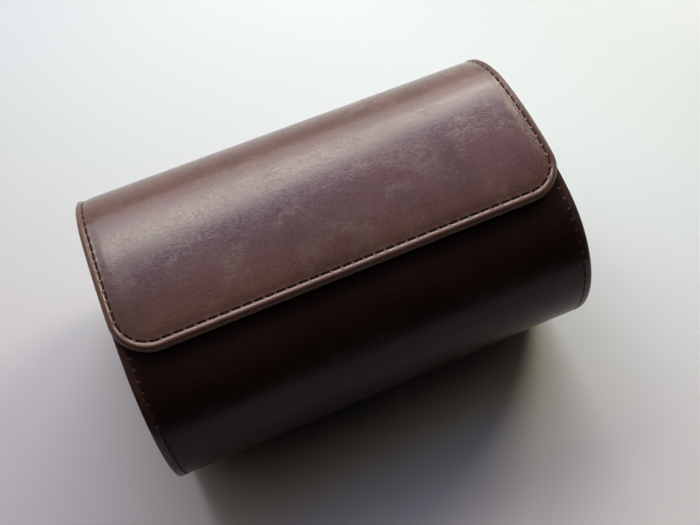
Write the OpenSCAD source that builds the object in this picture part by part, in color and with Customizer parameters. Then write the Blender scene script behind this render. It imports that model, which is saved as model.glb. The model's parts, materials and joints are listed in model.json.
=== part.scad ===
// Two-place watch travel case: an oval leather tube with a wrap-over flap on a leather hinge.
// +X runs along the tube, +Y is the hinge side (back), +Z is up, the origin is under the middle.

/* [Case] */
// Length of the case, rim to rim
case_length = 150; // [130:1:180]
// Depth of the tube, front to back
case_depth = 100; // [92:1:112]
// Height of the tube's oval before its base is flattened
oval_height = 73; // [68:1:82]
// Radius of the top and bottom arcs
crown_radius = 110; // [95:1:150]
// How far the base is flattened into the oval
base_flattening = 0.6; // [0.4:0.1:0.9]

/* [Tube wall] */
// Thickness of the outer leather
wrap_leather_t = 1.4; // [1.2:0.1:1.8]
// Thickness of the stiff board
wrap_board_t = 2; // [1.4:0.1:2.6]
// Thickness of the suede lining
wrap_lining_t = 0.8; // [0.5:0.1:1.2]
// Distance of the lip's free edge in front of the case's middle plane
lip_forward = 4; // [2:0.5:5]
// Width of the binding turned over the lip's edge
lip_binding_w = 2.4; // [1.8:0.1:3]

/* [Ends] */
// Depth of the recess in each end
end_recess = 5; // [4.5:0.5:8]
// Distance of the rim hoop behind the edge of the leather
rim_setback = 0.4; // [0.2:0.1:0.8]
// Thickness of the leather skin on the recessed face
end_skin_t = 1.2; // [0.8:0.1:1.6]
// Thickness of the stiff end board
end_board_t = 2.5; // [1.5:0.1:4]
// Thickness of the suede inside the end
end_lining_t = 0.8; // [0.5:0.1:1.2]
// Thickness of the leather strip over the top edge of the end wall
mouth_binding_t = 1; // [0.6:0.1:1.4]

/* [Divider] */
// Thickness of the divider's board
divider_board_t = 3; // [2:0.1:5]
// Thickness of the suede on the divider
divider_suede_t = 0.6; // [0.4:0.1:1]
// Height of the divider's top above the middle of the oval
divider_rise = 20; // [8:0.5:24]

/* [Flap] */
// Thickness of the flap's leather
flap_leather_t = 1.2; // [1:0.1:1.6]
// Thickness of the flap's board
flap_board_t = 1; // [0.9:0.1:1.6]
// Thickness of the flap's suede lining
flap_lining_t = 0.6; // [0.4:0.1:1]
// Air between the closed flap and the tube
flap_gap = 0.3; // [0.2:0.05:0.5]
// Distance of the flap's free edge in front of the case's middle plane
flap_forward = 22.5; // [20.5:0.5:27]
// Radius of the two free corners of the flap
flap_corner_r = 13; // [9:0.5:18]
// Width of the raised edge
bead_w = 3.3; // [2.4:0.1:3.8]
// Height of the raised edge above the flap's leather
bead_rise = 0.4; // [0.2:0.1:0.6]

/* [Stitching] */
// Distance from one stitch to the next
stitch_pitch = 4; // [3.6:0.1:5]
// Length of the thread that shows in one stitch
stitch_length = 2.9; // [2:0.1:3.2]
// Diameter of the thread
thread_d = 0.7; // [0.5:0.05:0.8]
// Width of the groove that the thread lies in
groove_w = 1.1; // [0.9:0.1:1.4]
// Depth of the groove
groove_depth = 0.5; // [0.3:0.1:0.7]
// Distance of the rim's stitch line from the edge of the leather
rim_stitch_in = 2.8; // [2:0.1:4]

/* [Press studs] */
// Distance of each stud from its end of the case
stud_from_end = 31; // [23:1:45]
// Diameter of the stud's flange, of the socket and of the plates behind them
snap_d = 9; // [7.5:0.5:9]
// Diameter of the stud's head
stud_head_d = 3.6; // [3:0.1:4]
// Diameter of the stud's post
stud_post_d = 2.4; // [1.8:0.1:2.8]
// Height of the stud's head above the lip
stud_rise = 1.1; // [0.8:0.1:1.2]
// Diameter of the hole in the socket
socket_bore_d = 5.8; // [5.6:0.1:6.2]
// Thickness of the flange and of the plates
snap_plate_t = 0.4; // [0.3:0.1:0.4]
// Depth of the flat plates below the curved leather over them
snap_inset = 0.15; // [0.12:0.01:0.2]

/* [Watch cushions] */
// Length of a cushion along the case
cushion_length = 55; // [45:1:58]
// Width of a cushion, front to back
cushion_width = 56; // [48:1:62]
// Height of a cushion
cushion_height = 40; // [34:1:44]
// Thickness of the suede round the foam
cushion_suede_t = 0.8; // [0.5:0.1:1.2]
// Air between a cushion and the lining under it
cushion_seat_gap = 0.3; // [0.2:0.05:0.5]

/* [Hidden] */

$fn = 32;
OVAL_FN = 240;
CORNER_FN = 96;
THREAD_FN = 16;
PLATE_FN = 48;
FAR = 400;
OVERRUN = 1;
LEFT = -1;
RIGHT = 1;

LEATHER = "#3a2624";
FLAP_LEATHER = "#6e5050";
SUEDE = "#8a6a52";
BOARD = "#b9a27c";
THREAD = "#1f1413";
METAL = "#9c8a63";
FOAM = "#e6dfc8";

// The oval: its crown arcs run into its side arcs where the normal stands at blend_angle
half_l = case_length / 2;
half_d = case_depth / 2;
half_h = oval_height / 2;
mid_z = half_h - base_flattening;
side_r = (pow(crown_radius - half_h, 2) + half_d * half_d - crown_radius * crown_radius)
         / (2 * (half_d - crown_radius));
side_y = half_d - side_r;
blend_angle = atan2(crown_radius - half_h, side_y);

// The wall, the flap and the strip between them that bends
wall = wrap_leather_t + wrap_board_t + wrap_lining_t;
flap_t = flap_leather_t + flap_board_t + flap_lining_t;
flap_lift = flap_t + flap_gap;
lip_groove_y = -lip_forward - lip_binding_w - groove_w / 2;

// The end walls, from the recessed face inwards
recess_x = half_l - end_recess;
end_skin_x = recess_x - end_skin_t;
end_board_x = end_skin_x - end_board_t;
end_lining_x = end_board_x - end_lining_t;

// The thread
thread_sink = thread_d / 2 - groove_depth;
flap_stitch_in = bead_w + groove_w / 2;
rim_stitch_x = half_l - rim_stitch_in;

// The press studs stand halfway between the lip's row of stitches and the flap's
stud_x = half_l - stud_from_end;
snap_y = (lip_groove_y - groove_w / 2 - flap_forward + flap_stitch_in + groove_w / 2) / 2;

// The cushions sit on the lining, each in the middle of its place
divider_half_t = divider_board_t / 2 + divider_suede_t;
cushion_x = (divider_half_t + end_lining_x) / 2;
cushion_r = cushion_height / 2;
cushion_flat = cushion_width / 2 - cushion_r;
floor_r = crown_radius - wall;
cushion_z = mid_z - half_h + crown_radius - sqrt(floor_r * floor_r - cushion_flat * cushion_flat)
            + cushion_seat_gap + cushion_r;

// ---- Points on the oval, moved out by off: [y, z] from the oval's middle ----

function on_oval(angle, off) =
    angle < blend_angle
        ? [side_y + (side_r + off) * cos(angle), (side_r + off) * sin(angle)]
        : angle > 180 - blend_angle
            ? [-side_y + (side_r + off) * cos(angle), (side_r + off) * sin(angle)]
            : [(crown_radius + off) * cos(angle),
               half_h - crown_radius + (crown_radius + off) * sin(angle)];

// Length along the oval from its rearmost point to where the normal stands at an angle
function length_at(angle, off) =
    angle < blend_angle
        ? (side_r + off) * angle * PI / 180
        : angle > 180 - blend_angle
            ? length_at(180 - blend_angle, off) + (side_r + off) * (angle + blend_angle - 180) * PI / 180
            : (side_r + off) * blend_angle * PI / 180
              + (crown_radius + off) * (angle - blend_angle) * PI / 180;

function angle_at(length, off) =
    length < length_at(blend_angle, off)
        ? length / (side_r + off) * 180 / PI
        : length > length_at(180 - blend_angle, off)
            ? 180 - blend_angle + (length - length_at(180 - blend_angle, off)) / (side_r + off) * 180 / PI
            : blend_angle + (length - length_at(blend_angle, off)) / (crown_radius + off) * 180 / PI;

// Angle of the normal on the crown at a given y
function crown_angle(y, off) = acos(y / (crown_radius + off));

// ---- Outlines in Y and Z, and solids made of them ----

module oval(off) {
    intersection() {
        translate([0, half_h - crown_radius]) circle(crown_radius + off, $fn = OVAL_FN);
        translate([0, crown_radius - half_h]) circle(crown_radius + off, $fn = OVAL_FN);
        square([2 * on_oval(blend_angle, off)[0], FAR], center = true);
    }
    for (side = [-1, 1])
        translate([side * side_y, 0]) circle(side_r + off, $fn = OVAL_FN);
}

module tube_oval(off) {
    translate([0, mid_z]) oval(off);
}

module flap_oval(off) {
    translate([0, mid_z + flap_lift]) oval(off);
}

// The open quarter of the tube: behind the edge of the lip and above the hinge
module mouth(forward = 0) {
    translate([-lip_forward - forward, mid_z]) square([FAR, FAR]);
}

// An outline in Y and Z made solid between two places along the case
module along_x(from, to) {
    translate([from, 0, 0])
        rotate([90, 0, 90])
            linear_extrude(to - from) children();
}

// A layer of the tube's wall between two offsets, open at the mouth and flat at the base
module tube_layer(outer, inner, forward = 0) {
    difference() {
        intersection() {
            tube_oval(outer);
            translate([-FAR / 2, 0]) square([FAR, FAR]);
        }
        tube_oval(inner);
        mouth(forward);
    }
}

// A layer of the flap between two offsets, before flap_plan gives it its free edges
module flap_layer(outer, inner) {
    along_x(-half_l - OVERRUN, half_l + OVERRUN)
        intersection() {
            difference() {
                flap_oval(outer);
                flap_oval(inner);
            }
            translate([-flap_forward - OVERRUN, mid_z + flap_lift]) square([FAR, FAR]);
        }
}

// The flap as seen from above, drawn in by inset on its three free sides
module flap_plan(inset) {
    r = flap_corner_r - inset;
    x = half_l - inset;
    front = inset - flap_forward;
    linear_extrude(FAR) {
        translate([-x, front + r]) square([2 * x, FAR]);
        translate([r - x, front]) square([2 * (x - r), 2 * r]);
        for (side = [-1, 1])
            translate([side * (x - r), front + r]) circle(r, $fn = CORNER_FN);
    }
}

// Outline of an end wall: under the leather of the wrap, and up to the flap across the mouth
module end_outline(top_inset = 0) {
    difference() {
        tube_oval(-wrap_leather_t);
        mouth();
    }
    intersection() {
        flap_oval(-flap_lift - top_inset);
        mouth();
    }
}

// Children made for the right end, or mirrored to the left end
module at_end(side) {
    mirror([side == LEFT ? 1 : 0, 0, 0]) children();
}

// ---- Thread ----

// A thread from one point to another
module thread(from, to) {
    d = to - from;
    run = norm([d[0], d[1]]);
    translate(from)
        rotate([0, atan2(run, d[2]), atan2(d[1], d[0])])
            cylinder(h = norm(d), d = thread_d, $fn = THREAD_FN);
}

// The flap's row, from the left end of the hinge round to the right end of it
flap_row_x = half_l - flap_stitch_in;
flap_row_y = flap_stitch_in - flap_forward;
flap_row_r = flap_corner_r - flap_stitch_in;
flap_side_length = length_at(crown_angle(flap_row_y + flap_row_r, thread_sink), thread_sink);
flap_corner_length = flap_row_r * PI / 2;
flap_half_row = flap_side_length + flap_corner_length + flap_row_x - flap_row_r;

function on_flap_crown(x, y) =
    [x, y, mid_z + flap_lift + on_oval(crown_angle(y, thread_sink), thread_sink)[1]];

function flap_row_point(s) =
    s > flap_half_row
        ? let (p = flap_row_point(2 * flap_half_row - s)) [-p[0], p[1], p[2]]
        : s < flap_side_length
            ? let (p = on_oval(angle_at(s, thread_sink), thread_sink))
              [-flap_row_x, p[0], mid_z + flap_lift + p[1]]
            : s < flap_side_length + flap_corner_length
                ? let (turn = (s - flap_side_length) / flap_row_r * 180 / PI)
                  on_flap_crown(-flap_row_x + flap_row_r * (1 - cos(turn)),
                                flap_row_y + flap_row_r * (1 - sin(turn)))
                : on_flap_crown(s - flap_half_row, flap_row_y);

// A rim's row on the right end, from the hinge under the tube and up to the lip's binding
rim_row_half = length_at(180, thread_sink);
rim_row_end = crown_angle(-lip_forward - lip_binding_w, thread_sink);
rim_row_length = 2 * rim_row_half - length_at(rim_row_end, thread_sink);

function rim_row_point(s) =
    let (under = s < rim_row_half,
         p = on_oval(angle_at(under ? s : 2 * rim_row_half - s, thread_sink), thread_sink))
    [rim_stitch_x, p[0], mid_z + (under ? -p[1] : p[1])];

// Half the width over which the base is flat and carries no thread
base_half_w = sqrt(crown_radius * crown_radius - pow(crown_radius - base_flattening - groove_depth, 2));

module wrap_stitching() {
    rim_count = floor(rim_row_length / stitch_pitch);
    rim_step = rim_row_length / rim_count;
    lip_count = floor((2 * rim_stitch_x - 2 * stitch_pitch) / stitch_pitch);
    lip_z = mid_z + on_oval(crown_angle(lip_groove_y, thread_sink), thread_sink)[1];
    color(THREAD) {
        for (side = [LEFT, RIGHT], i = [0 : rim_count - 1]) {
            from = rim_row_point((i + 0.5) * rim_step - stitch_length / 2);
            to = rim_row_point((i + 0.5) * rim_step + stitch_length / 2);
            if (from[2] > mid_z || min(abs(from[1]), abs(to[1])) > base_half_w)
                at_end(side) thread(from, to);
        }
        for (i = [0 : lip_count - 1]) {
            middle = (i - (lip_count - 1) / 2) * stitch_pitch;
            translate([middle, lip_groove_y, lip_z])
                thread([-stitch_length / 2, 0, 0], [stitch_length / 2, 0, 0]);
        }
    }
}

module flap_stitching() {
    count = floor(2 * flap_half_row / stitch_pitch);
    step = 2 * flap_half_row / count;
    color(THREAD)
        for (i = [0 : count - 1])
            thread(flap_row_point((i + 0.5) * step - stitch_length / 2),
                   flap_row_point((i + 0.5) * step + stitch_length / 2));
}

// ---- Press studs: each child stands on the leather, its +Z out of the surface ----

module at_snap(side, lift) {
    angle = crown_angle(snap_y, 0);
    translate([side * stud_x, snap_y, mid_z + lift + on_oval(angle, 0)[1]])
        rotate([angle - 90, 0, 0]) children();
}

module at_stud(side) {
    at_snap(side, 0) children();
}

module at_socket(side) {
    at_snap(side, flap_lift) children();
}

// A round plate or plug between two heights
module disc(d, low, high) {
    translate([0, 0, low]) cylinder(h = high - low, d = d, $fn = PLATE_FN);
}

flange_top = -snap_inset;
flange_low = flange_top - snap_plate_t;
stud_back_top = -wrap_leather_t - snap_inset;
socket_cap_top = -flap_leather_t - snap_inset;
socket_top = socket_cap_top - snap_plate_t;
socket_low = -flap_t + snap_inset;

module stud(side) {
    color(METAL)
        at_stud(side) {
            disc(snap_d, flange_low, flange_top);
            disc(stud_post_d, stud_back_top, flange_low);
            disc(stud_head_d, flange_top, stud_rise);
        }
}

module stud_back(side) {
    color(METAL) at_stud(side) disc(snap_d, stud_back_top - snap_plate_t, stud_back_top);
}

module socket(side) {
    color(METAL)
        at_socket(side)
            difference() {
                disc(snap_d, socket_low, socket_top);
                disc(socket_bore_d, socket_low - OVERRUN, socket_top + OVERRUN);
            }
}

module socket_cap(side) {
    color(METAL) at_socket(side) disc(snap_d, socket_top, socket_cap_top);
}

module left_stud() stud(LEFT);
module right_stud() stud(RIGHT);
module left_stud_back() stud_back(LEFT);
module right_stud_back() stud_back(RIGHT);
module left_socket() socket(LEFT);
module right_socket() socket(RIGHT);
module left_socket_cap() socket_cap(LEFT);
module right_socket_cap() socket_cap(RIGHT);

// ---- Tube ----

module outer_wrap() {
    color(LEATHER)
        difference() {
            along_x(-half_l, half_l) tube_layer(0, -wrap_leather_t, lip_binding_w);
            for (side = [LEFT, RIGHT])
                at_end(side)
                    along_x(rim_stitch_x - groove_w / 2, rim_stitch_x + groove_w / 2)
                        tube_layer(OVERRUN, -groove_depth);
            along_x(-rim_stitch_x, rim_stitch_x)
                intersection() {
                    tube_layer(OVERRUN, -groove_depth);
                    translate([lip_groove_y - groove_w / 2, mid_z]) square([groove_w, FAR]);
                }
            for (side = [LEFT, RIGHT])
                at_stud(side) {
                    disc(snap_d, flange_low, OVERRUN);
                    disc(stud_post_d, -2 * wrap_leather_t, 0);
                }
        }
}

module wrap_board() {
    color(BOARD)
        difference() {
            along_x(-end_board_x, end_board_x)
                tube_layer(-wrap_leather_t, -wrap_leather_t - wrap_board_t, lip_binding_w);
            for (side = [LEFT, RIGHT])
                at_stud(side) disc(snap_d, stud_back_top - snap_plate_t, 0);
        }
}

module wrap_lining() {
    color(SUEDE)
        along_x(-end_lining_x, end_lining_x)
            tube_layer(-wall + wrap_lining_t, -wall, lip_binding_w);
}

// Leather turned over the edge of the lip, as deep as the wall
module lip_binding() {
    color(LEATHER)
        intersection() {
            union() {
                along_x(-half_l, half_l) tube_layer(0, -wrap_leather_t);
                along_x(-end_board_x, end_board_x) tube_layer(-wrap_leather_t, -wall + wrap_lining_t);
                along_x(-end_lining_x, end_lining_x) tube_layer(-wall + wrap_lining_t, -wall);
            }
            translate([-half_l, -lip_forward - lip_binding_w, mid_z])
                cube([case_length, lip_binding_w, FAR]);
        }
}

// ---- Ends ----

module end_rim(side) {
    color(LEATHER)
        at_end(side)
            along_x(recess_x, half_l - rim_setback)
                difference() {
                    end_outline();
                    tube_oval(-wall);
                }
}

module end_skin(side) {
    color(LEATHER) at_end(side) along_x(end_skin_x, recess_x) end_outline();
}

module end_board(side) {
    color(BOARD) at_end(side) along_x(end_board_x, end_skin_x) end_outline(mouth_binding_t);
}

module end_lining(side) {
    color(SUEDE)
        at_end(side)
            along_x(end_lining_x, end_board_x)
                intersection() {
                    end_outline(mouth_binding_t);
                    union() {
                        tube_oval(-wall + wrap_lining_t);
                        mouth();
                    }
                }
}

module mouth_binding(side) {
    color(LEATHER)
        at_end(side)
            along_x(end_lining_x, end_skin_x)
                difference() {
                    end_outline();
                    end_outline(mouth_binding_t);
                }
}

module left_end_rim() end_rim(LEFT);
module right_end_rim() end_rim(RIGHT);
module left_end_skin() end_skin(LEFT);
module right_end_skin() end_skin(RIGHT);
module left_end_board() end_board(LEFT);
module right_end_board() end_board(RIGHT);
module left_end_lining() end_lining(LEFT);
module right_end_lining() end_lining(RIGHT);
module left_mouth_binding() mouth_binding(LEFT);
module right_mouth_binding() mouth_binding(RIGHT);

// ---- Divider ----

module divider_outline(rise) {
    intersection() {
        tube_oval(-wall);
        translate([-FAR / 2, 0]) square([FAR, mid_z + rise]);
    }
}

module divider_board() {
    color(BOARD)
        along_x(-divider_board_t / 2, divider_board_t / 2) divider_outline(divider_rise - divider_suede_t);
}

module divider_cover() {
    color(SUEDE)
        difference() {
            along_x(-divider_half_t, divider_half_t) divider_outline(divider_rise);
            divider_board();
        }
}

// ---- Hinge: the strips of leather and lining that bend between the tube and the flap ----

module hinge_leather() {
    color(LEATHER)
        translate([-half_l, half_d - flap_leather_t, mid_z])
            cube([case_length, flap_leather_t, flap_lift]);
}

module hinge_lining() {
    color(SUEDE)
        translate([-end_board_x, half_d - flap_t, mid_z])
            cube([2 * end_board_x, flap_lining_t, flap_lift]);
}

// ---- Flap ----

module flap_leather() {
    color(FLAP_LEATHER)
        difference() {
            intersection() {
                flap_layer(0, -flap_leather_t);
                flap_plan(bead_w);
            }
            intersection() {
                flap_layer(OVERRUN, -groove_depth);
                difference() {
                    flap_plan(0);
                    flap_plan(bead_w + groove_w);
                }
            }
        }
}

module flap_board() {
    color(BOARD)
        difference() {
            intersection() {
                flap_layer(-flap_leather_t, -flap_t + flap_lining_t);
                flap_plan(bead_w);
            }
            for (side = [LEFT, RIGHT])
                at_socket(side) disc(snap_d, -2 * flap_t, socket_cap_top);
        }
}

module flap_lining() {
    color(SUEDE)
        difference() {
            intersection() {
                flap_layer(-flap_t + flap_lining_t, -flap_t);
                flap_plan(bead_w);
            }
            for (side = [LEFT, RIGHT])
                at_socket(side) disc(snap_d, -2 * flap_t, 0);
        }
}

// Raised edge of turned leather on the flap's three free sides
module flap_edge_bead() {
    color(FLAP_LEATHER)
        intersection() {
            flap_layer(bead_rise, -flap_t);
            difference() {
                flap_plan(0);
                flap_plan(bead_w);
            }
        }
}

// ---- Watch cushions ----

module cushion_outline(inset) {
    r = cushion_r - inset;
    translate([0, cushion_z]) {
        square([2 * cushion_flat, 2 * r], center = true);
        for (side = [-1, 1])
            translate([side * cushion_flat, 0]) circle(r, $fn = CORNER_FN);
    }
}

module at_cushion(side) {
    translate([side * cushion_x, 0, 0]) children();
}

module cushion_foam(side) {
    half = cushion_length / 2 - cushion_suede_t;
    color(FOAM) at_cushion(side) along_x(-half, half) cushion_outline(cushion_suede_t);
}

module cushion_sleeve(side) {
    color(SUEDE)
        at_cushion(side)
            along_x(-cushion_length / 2, cushion_length / 2)
                difference() {
                    cushion_outline(0);
                    cushion_outline(cushion_suede_t);
                }
}

module cushion_discs(side) {
    color(SUEDE)
        at_cushion(side)
            for (end = [LEFT, RIGHT])
                at_end(end)
                    along_x(cushion_length / 2 - cushion_suede_t, cushion_length / 2)
                        cushion_outline(cushion_suede_t);
}

module left_cushion_foam() cushion_foam(LEFT);
module right_cushion_foam() cushion_foam(RIGHT);
module left_cushion_sleeve() cushion_sleeve(LEFT);
module right_cushion_sleeve() cushion_sleeve(RIGHT);
module left_cushion_discs() cushion_discs(LEFT);
module right_cushion_discs() cushion_discs(RIGHT);

outer_wrap();
wrap_board();
wrap_lining();
lip_binding();
wrap_stitching();
left_end_rim();
left_end_skin();
left_end_board();
left_end_lining();
left_mouth_binding();
right_end_rim();
right_end_skin();
right_end_board();
right_end_lining();
right_mouth_binding();
divider_board();
divider_cover();
hinge_leather();
hinge_lining();
left_stud();
right_stud();
left_stud_back();
right_stud_back();
flap_leather();
flap_board();
flap_lining();
flap_edge_bead();
flap_stitching();
left_socket();
right_socket();
left_socket_cap();
right_socket_cap();
left_cushion_foam();
left_cushion_sleeve();
left_cushion_discs();
right_cushion_foam();
right_cushion_sleeve();
right_cushion_discs();
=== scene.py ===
"""Two-place leather watch travel case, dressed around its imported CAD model.

Lengths are in millimetres and turned into metres where a mesh or the camera is made. Only the floor
and the lamps are in metres. +X runs along the case, +Y is the hinge side and +Z is up, as in the CAD.
"""
import json
import math

import bmesh
import bpy
import numpy as np
from mathutils import Matrix, Quaternion, Vector, noise


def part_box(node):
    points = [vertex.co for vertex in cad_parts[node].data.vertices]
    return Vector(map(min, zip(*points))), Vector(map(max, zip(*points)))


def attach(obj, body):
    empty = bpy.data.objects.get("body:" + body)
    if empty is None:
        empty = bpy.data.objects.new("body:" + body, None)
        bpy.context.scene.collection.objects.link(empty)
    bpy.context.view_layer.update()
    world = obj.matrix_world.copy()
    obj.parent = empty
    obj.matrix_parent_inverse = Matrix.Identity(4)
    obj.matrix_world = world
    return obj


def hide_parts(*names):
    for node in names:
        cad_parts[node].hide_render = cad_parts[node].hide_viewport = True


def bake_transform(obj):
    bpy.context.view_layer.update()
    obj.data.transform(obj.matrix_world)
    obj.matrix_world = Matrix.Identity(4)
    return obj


MM = 0.001
SIDES = ((-1, "left"), (1, "right"))

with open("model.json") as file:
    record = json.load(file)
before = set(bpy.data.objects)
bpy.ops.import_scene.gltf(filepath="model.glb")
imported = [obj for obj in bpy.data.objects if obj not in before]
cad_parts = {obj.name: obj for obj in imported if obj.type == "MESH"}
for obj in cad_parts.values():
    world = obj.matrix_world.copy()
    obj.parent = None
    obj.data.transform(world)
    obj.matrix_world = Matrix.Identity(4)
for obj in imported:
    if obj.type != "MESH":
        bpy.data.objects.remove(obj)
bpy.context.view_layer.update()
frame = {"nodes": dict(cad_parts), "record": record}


# ---------------------------------------------------------------- sizes, in millimetres

def edge_mm(node, end, axis):
    """A side of a CAD node's box: end 0 is low and 1 is high, axis 0 to 2 is X to Z."""
    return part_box(node)[end][axis] / MM


HALF_LENGTH = edge_mm("outer_wrap", 1, 0)
HALF_DEPTH = edge_mm("hinge_leather", 1, 1)
MID_Z = edge_mm("hinge_leather", 0, 2)
FLAP_LIFT = edge_mm("hinge_leather", 1, 2) - MID_Z
HALF_HEIGHT = 36.5
CROWN_RADIUS = 110.0
WRAP_LEATHER = 1.4
WALL = 4.2
FLAP_THICKNESS = 2.8
FLAP_FORWARD = 22.5
FLAP_CORNER_RADIUS = 13.0
BEAD_WIDTH = 3.3
BEAD_RISE = 0.4
LIP_FORWARD = 4.0
LIP_BINDING = 2.4
STITCH_PITCH = 3.6
STITCH_LENGTH = 2.0
THREAD_DIAMETER = 0.7
GROOVE_WIDTH = 1.1
GROOVE_DEPTH = 0.5
RIM_STITCH_IN = 2.8
THREAD_SINK = THREAD_DIAMETER / 2 - GROOVE_DEPTH
FLAP_STITCH_IN = BEAD_WIDTH + GROOVE_WIDTH / 2
LIP_GROOVE_Y = -LIP_FORWARD - LIP_BINDING - GROOVE_WIDTH / 2

SIDE_RADIUS = (
    ((CROWN_RADIUS - HALF_HEIGHT) ** 2 + HALF_DEPTH ** 2 - CROWN_RADIUS ** 2)
    / (2 * (HALF_DEPTH - CROWN_RADIUS))
)
SIDE_Y = HALF_DEPTH - SIDE_RADIUS
BLEND = math.atan2(CROWN_RADIUS - HALF_HEIGHT, SIDE_Y)


# ---------------------------------------------------------------- the oval

def oval_breaks(off):
    """Angles of the normal where the oval's arcs meet, and the length along it up to each."""
    angles = np.array([0, BLEND, math.pi - BLEND, math.pi + BLEND, 2 * math.pi - BLEND, 2 * math.pi])
    radii = np.array([SIDE_RADIUS, CROWN_RADIUS, SIDE_RADIUS, CROWN_RADIUS, SIDE_RADIUS]) + off
    return angles, np.concatenate([[0], np.cumsum(radii * np.diff(angles))])


def angle_at(length, off=0.0):
    """Normal's angle at a length along the oval, from its rearmost point over the top."""
    angles, lengths = oval_breaks(off)
    return np.interp(length, lengths, angles)


def length_at(angle, off=0.0):
    """Length along the oval, from its rearmost point over the top, to a normal's angle."""
    return np.interp(angle, *oval_breaks(off))


def angle_of_y(y, off=0.0):
    """Normal's angle on the upper half of the oval at a given y."""
    y = np.asarray(y, float)
    crown_y = (CROWN_RADIUS + off) * math.cos(BLEND)
    on_crown = np.arccos(np.clip(y / (CROWN_RADIUS + off), -1, 1))
    on_side = np.arccos(np.clip((np.abs(y) - SIDE_Y) / (SIDE_RADIUS + off), -1, 1))
    on_side = np.where(y < 0, math.pi - on_side, on_side)
    return np.where(np.abs(y) <= crown_y, on_crown, on_side)


def oval_point(angle, off):
    """y and z on the oval moved out by off, from the oval's middle."""
    folded = np.mod(np.asarray(angle, float), 2 * math.pi)
    up = np.sin(folded) >= 0
    from_level = np.where(up, folded, 2 * math.pi - folded)
    crown = (from_level > BLEND) & (from_level < math.pi - BLEND)
    centre_y = np.where(crown, 0.0, np.where(np.cos(folded) > 0, SIDE_Y, -SIDE_Y))
    centre_z = np.where(crown, np.where(up, 1.0, -1.0) * (HALF_HEIGHT - CROWN_RADIUS), 0.0)
    radius = np.where(crown, CROWN_RADIUS, SIDE_RADIUS) + off
    return centre_y + radius * np.cos(folded), centre_z + radius * np.sin(folded)


def oval_line(angles, off, lift=0.0):
    """Points of the oval in Y and Z, in rows of two."""
    y, z = oval_point(angles, off)
    return np.stack([y, z + MID_Z + lift], axis=-1)


def points_at(x, y, z):
    """Points in space, each of x, y and z a number or a row of numbers."""
    return np.stack(np.broadcast_arrays(np.asarray(x, float), y, z), axis=-1)


def on_tube(x, angle, off, lift=0.0):
    """Points in space on the tube's oval, or on the flap's when lifted."""
    x, angle, off = np.broadcast_arrays(np.asarray(x, float), angle, off)
    y, z = oval_point(angle, off)
    return points_at(x, y, z + MID_Z + lift)


# ---------------------------------------------------------------- meshes

def smooth_step(value):
    """0 up to value 0, 1 from value 1, and a smooth rise between."""
    value = np.clip(value, 0, 1)
    return value * value * (3 - 2 * value)


def bump_shape(value, width):
    """1 at value 0, falling to 0 at half the width to each side."""
    return smooth_step(1 - np.abs(value) * 2 / width)


def unevenness(points, size, seed):
    """Smooth noise between -1 and 1 at each point, its lumps about size across."""
    shift = Vector((seed * 17.3, seed * 9.1, seed * 4.7))
    flat = points.reshape(-1, 3) / size
    values = [noise.noise(Vector(p) + shift) for p in flat]
    return np.array(values).reshape(points.shape[:-1])


def grid_faces(rows, columns, first=0, close_columns=False):
    """Faces of a grid of points stored row by row."""
    faces = []
    last = columns if close_columns else columns - 1
    for row in range(rows - 1):
        for column in range(last):
            a = first + row * columns + column
            b = first + row * columns + (column + 1) % columns
            faces.append((a, b, b + columns, a + columns))
    return faces


def capped_tube(rows, columns):
    """Faces of a grid closed round its columns, with a face over its first row and one over its last."""
    caps = [tuple(range(columns)), tuple(reversed(range((rows - 1) * columns, rows * columns)))]
    return grid_faces(rows, columns, close_columns=True) + caps


def closed_ring(rows, columns):
    """Faces of a grid closed round its columns, whose last row also joins its first."""
    last = (rows - 1) * columns
    after = [(j + 1) % columns for j in range(columns)]
    closing = [(j, k, last + k, last + j) for j, k in enumerate(after)]
    return grid_faces(rows, columns, close_columns=True) + closing


def face_outwards(work, facing, facing_x):
    """Turns an open skin's faces to the side that it shows."""
    middle = Vector((0, 0, MID_Z * MM))
    score = 0.0
    for face in work.faces:
        out = face.calc_center_median() - middle
        out = Vector((facing_x, 0, 0)) if facing_x else Vector((0, out.y, out.z)) * facing
        score += face.normal.dot(out) * face.calc_area()
    if score < 0:
        bmesh.ops.reverse_faces(work, faces=work.faces)


def add_piece(
    name, points, faces, slot, body, replaces=(), masks=None, merge=False, thick=0.0, facing=1, facing_x=0,
):
    """A smooth mesh piece from points in millimetres. masks gives it named numbers at each point.

    An open skin is thickened away from the side that it shows: facing is 1 where that side looks away
    from the tube's middle and -1 where it looks in, or facing_x is the sign of X that it looks to.
    """
    mesh = bpy.data.meshes.new(name)
    mesh.from_pydata((np.asarray(points, float).reshape(-1, 3) * MM).tolist(), [], faces)
    for mask_name, values in (masks or {}).items():
        attribute = mesh.attributes.new(mask_name, "FLOAT", "POINT")
        attribute.data.foreach_set("value", np.asarray(values, np.float32).ravel())
    work = bmesh.new()
    work.from_mesh(mesh)
    if merge:
        bmesh.ops.remove_doubles(work, verts=work.verts, dist=1e-6)
    bmesh.ops.recalc_face_normals(work, faces=work.faces)
    if thick:
        face_outwards(work, facing, facing_x)
    for face in work.faces:
        face.smooth = True
    for edge in work.edges:
        edge.smooth = not edge.is_boundary
    work.to_mesh(mesh)
    work.free()
    mesh.materials.append(BY_SLOT[slot])
    piece = bpy.data.objects.new(name, mesh)
    bpy.context.scene.collection.objects.link(piece)
    if thick:
        shell = piece.modifiers.new("thickness", "SOLIDIFY")
        shell.thickness = thick * MM
        shell.offset = -1.0
    if body:
        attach(piece, body)
    if replaces:
        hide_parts(*replaces)
    return piece


# ---------------------------------------------------------------- materials

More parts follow.
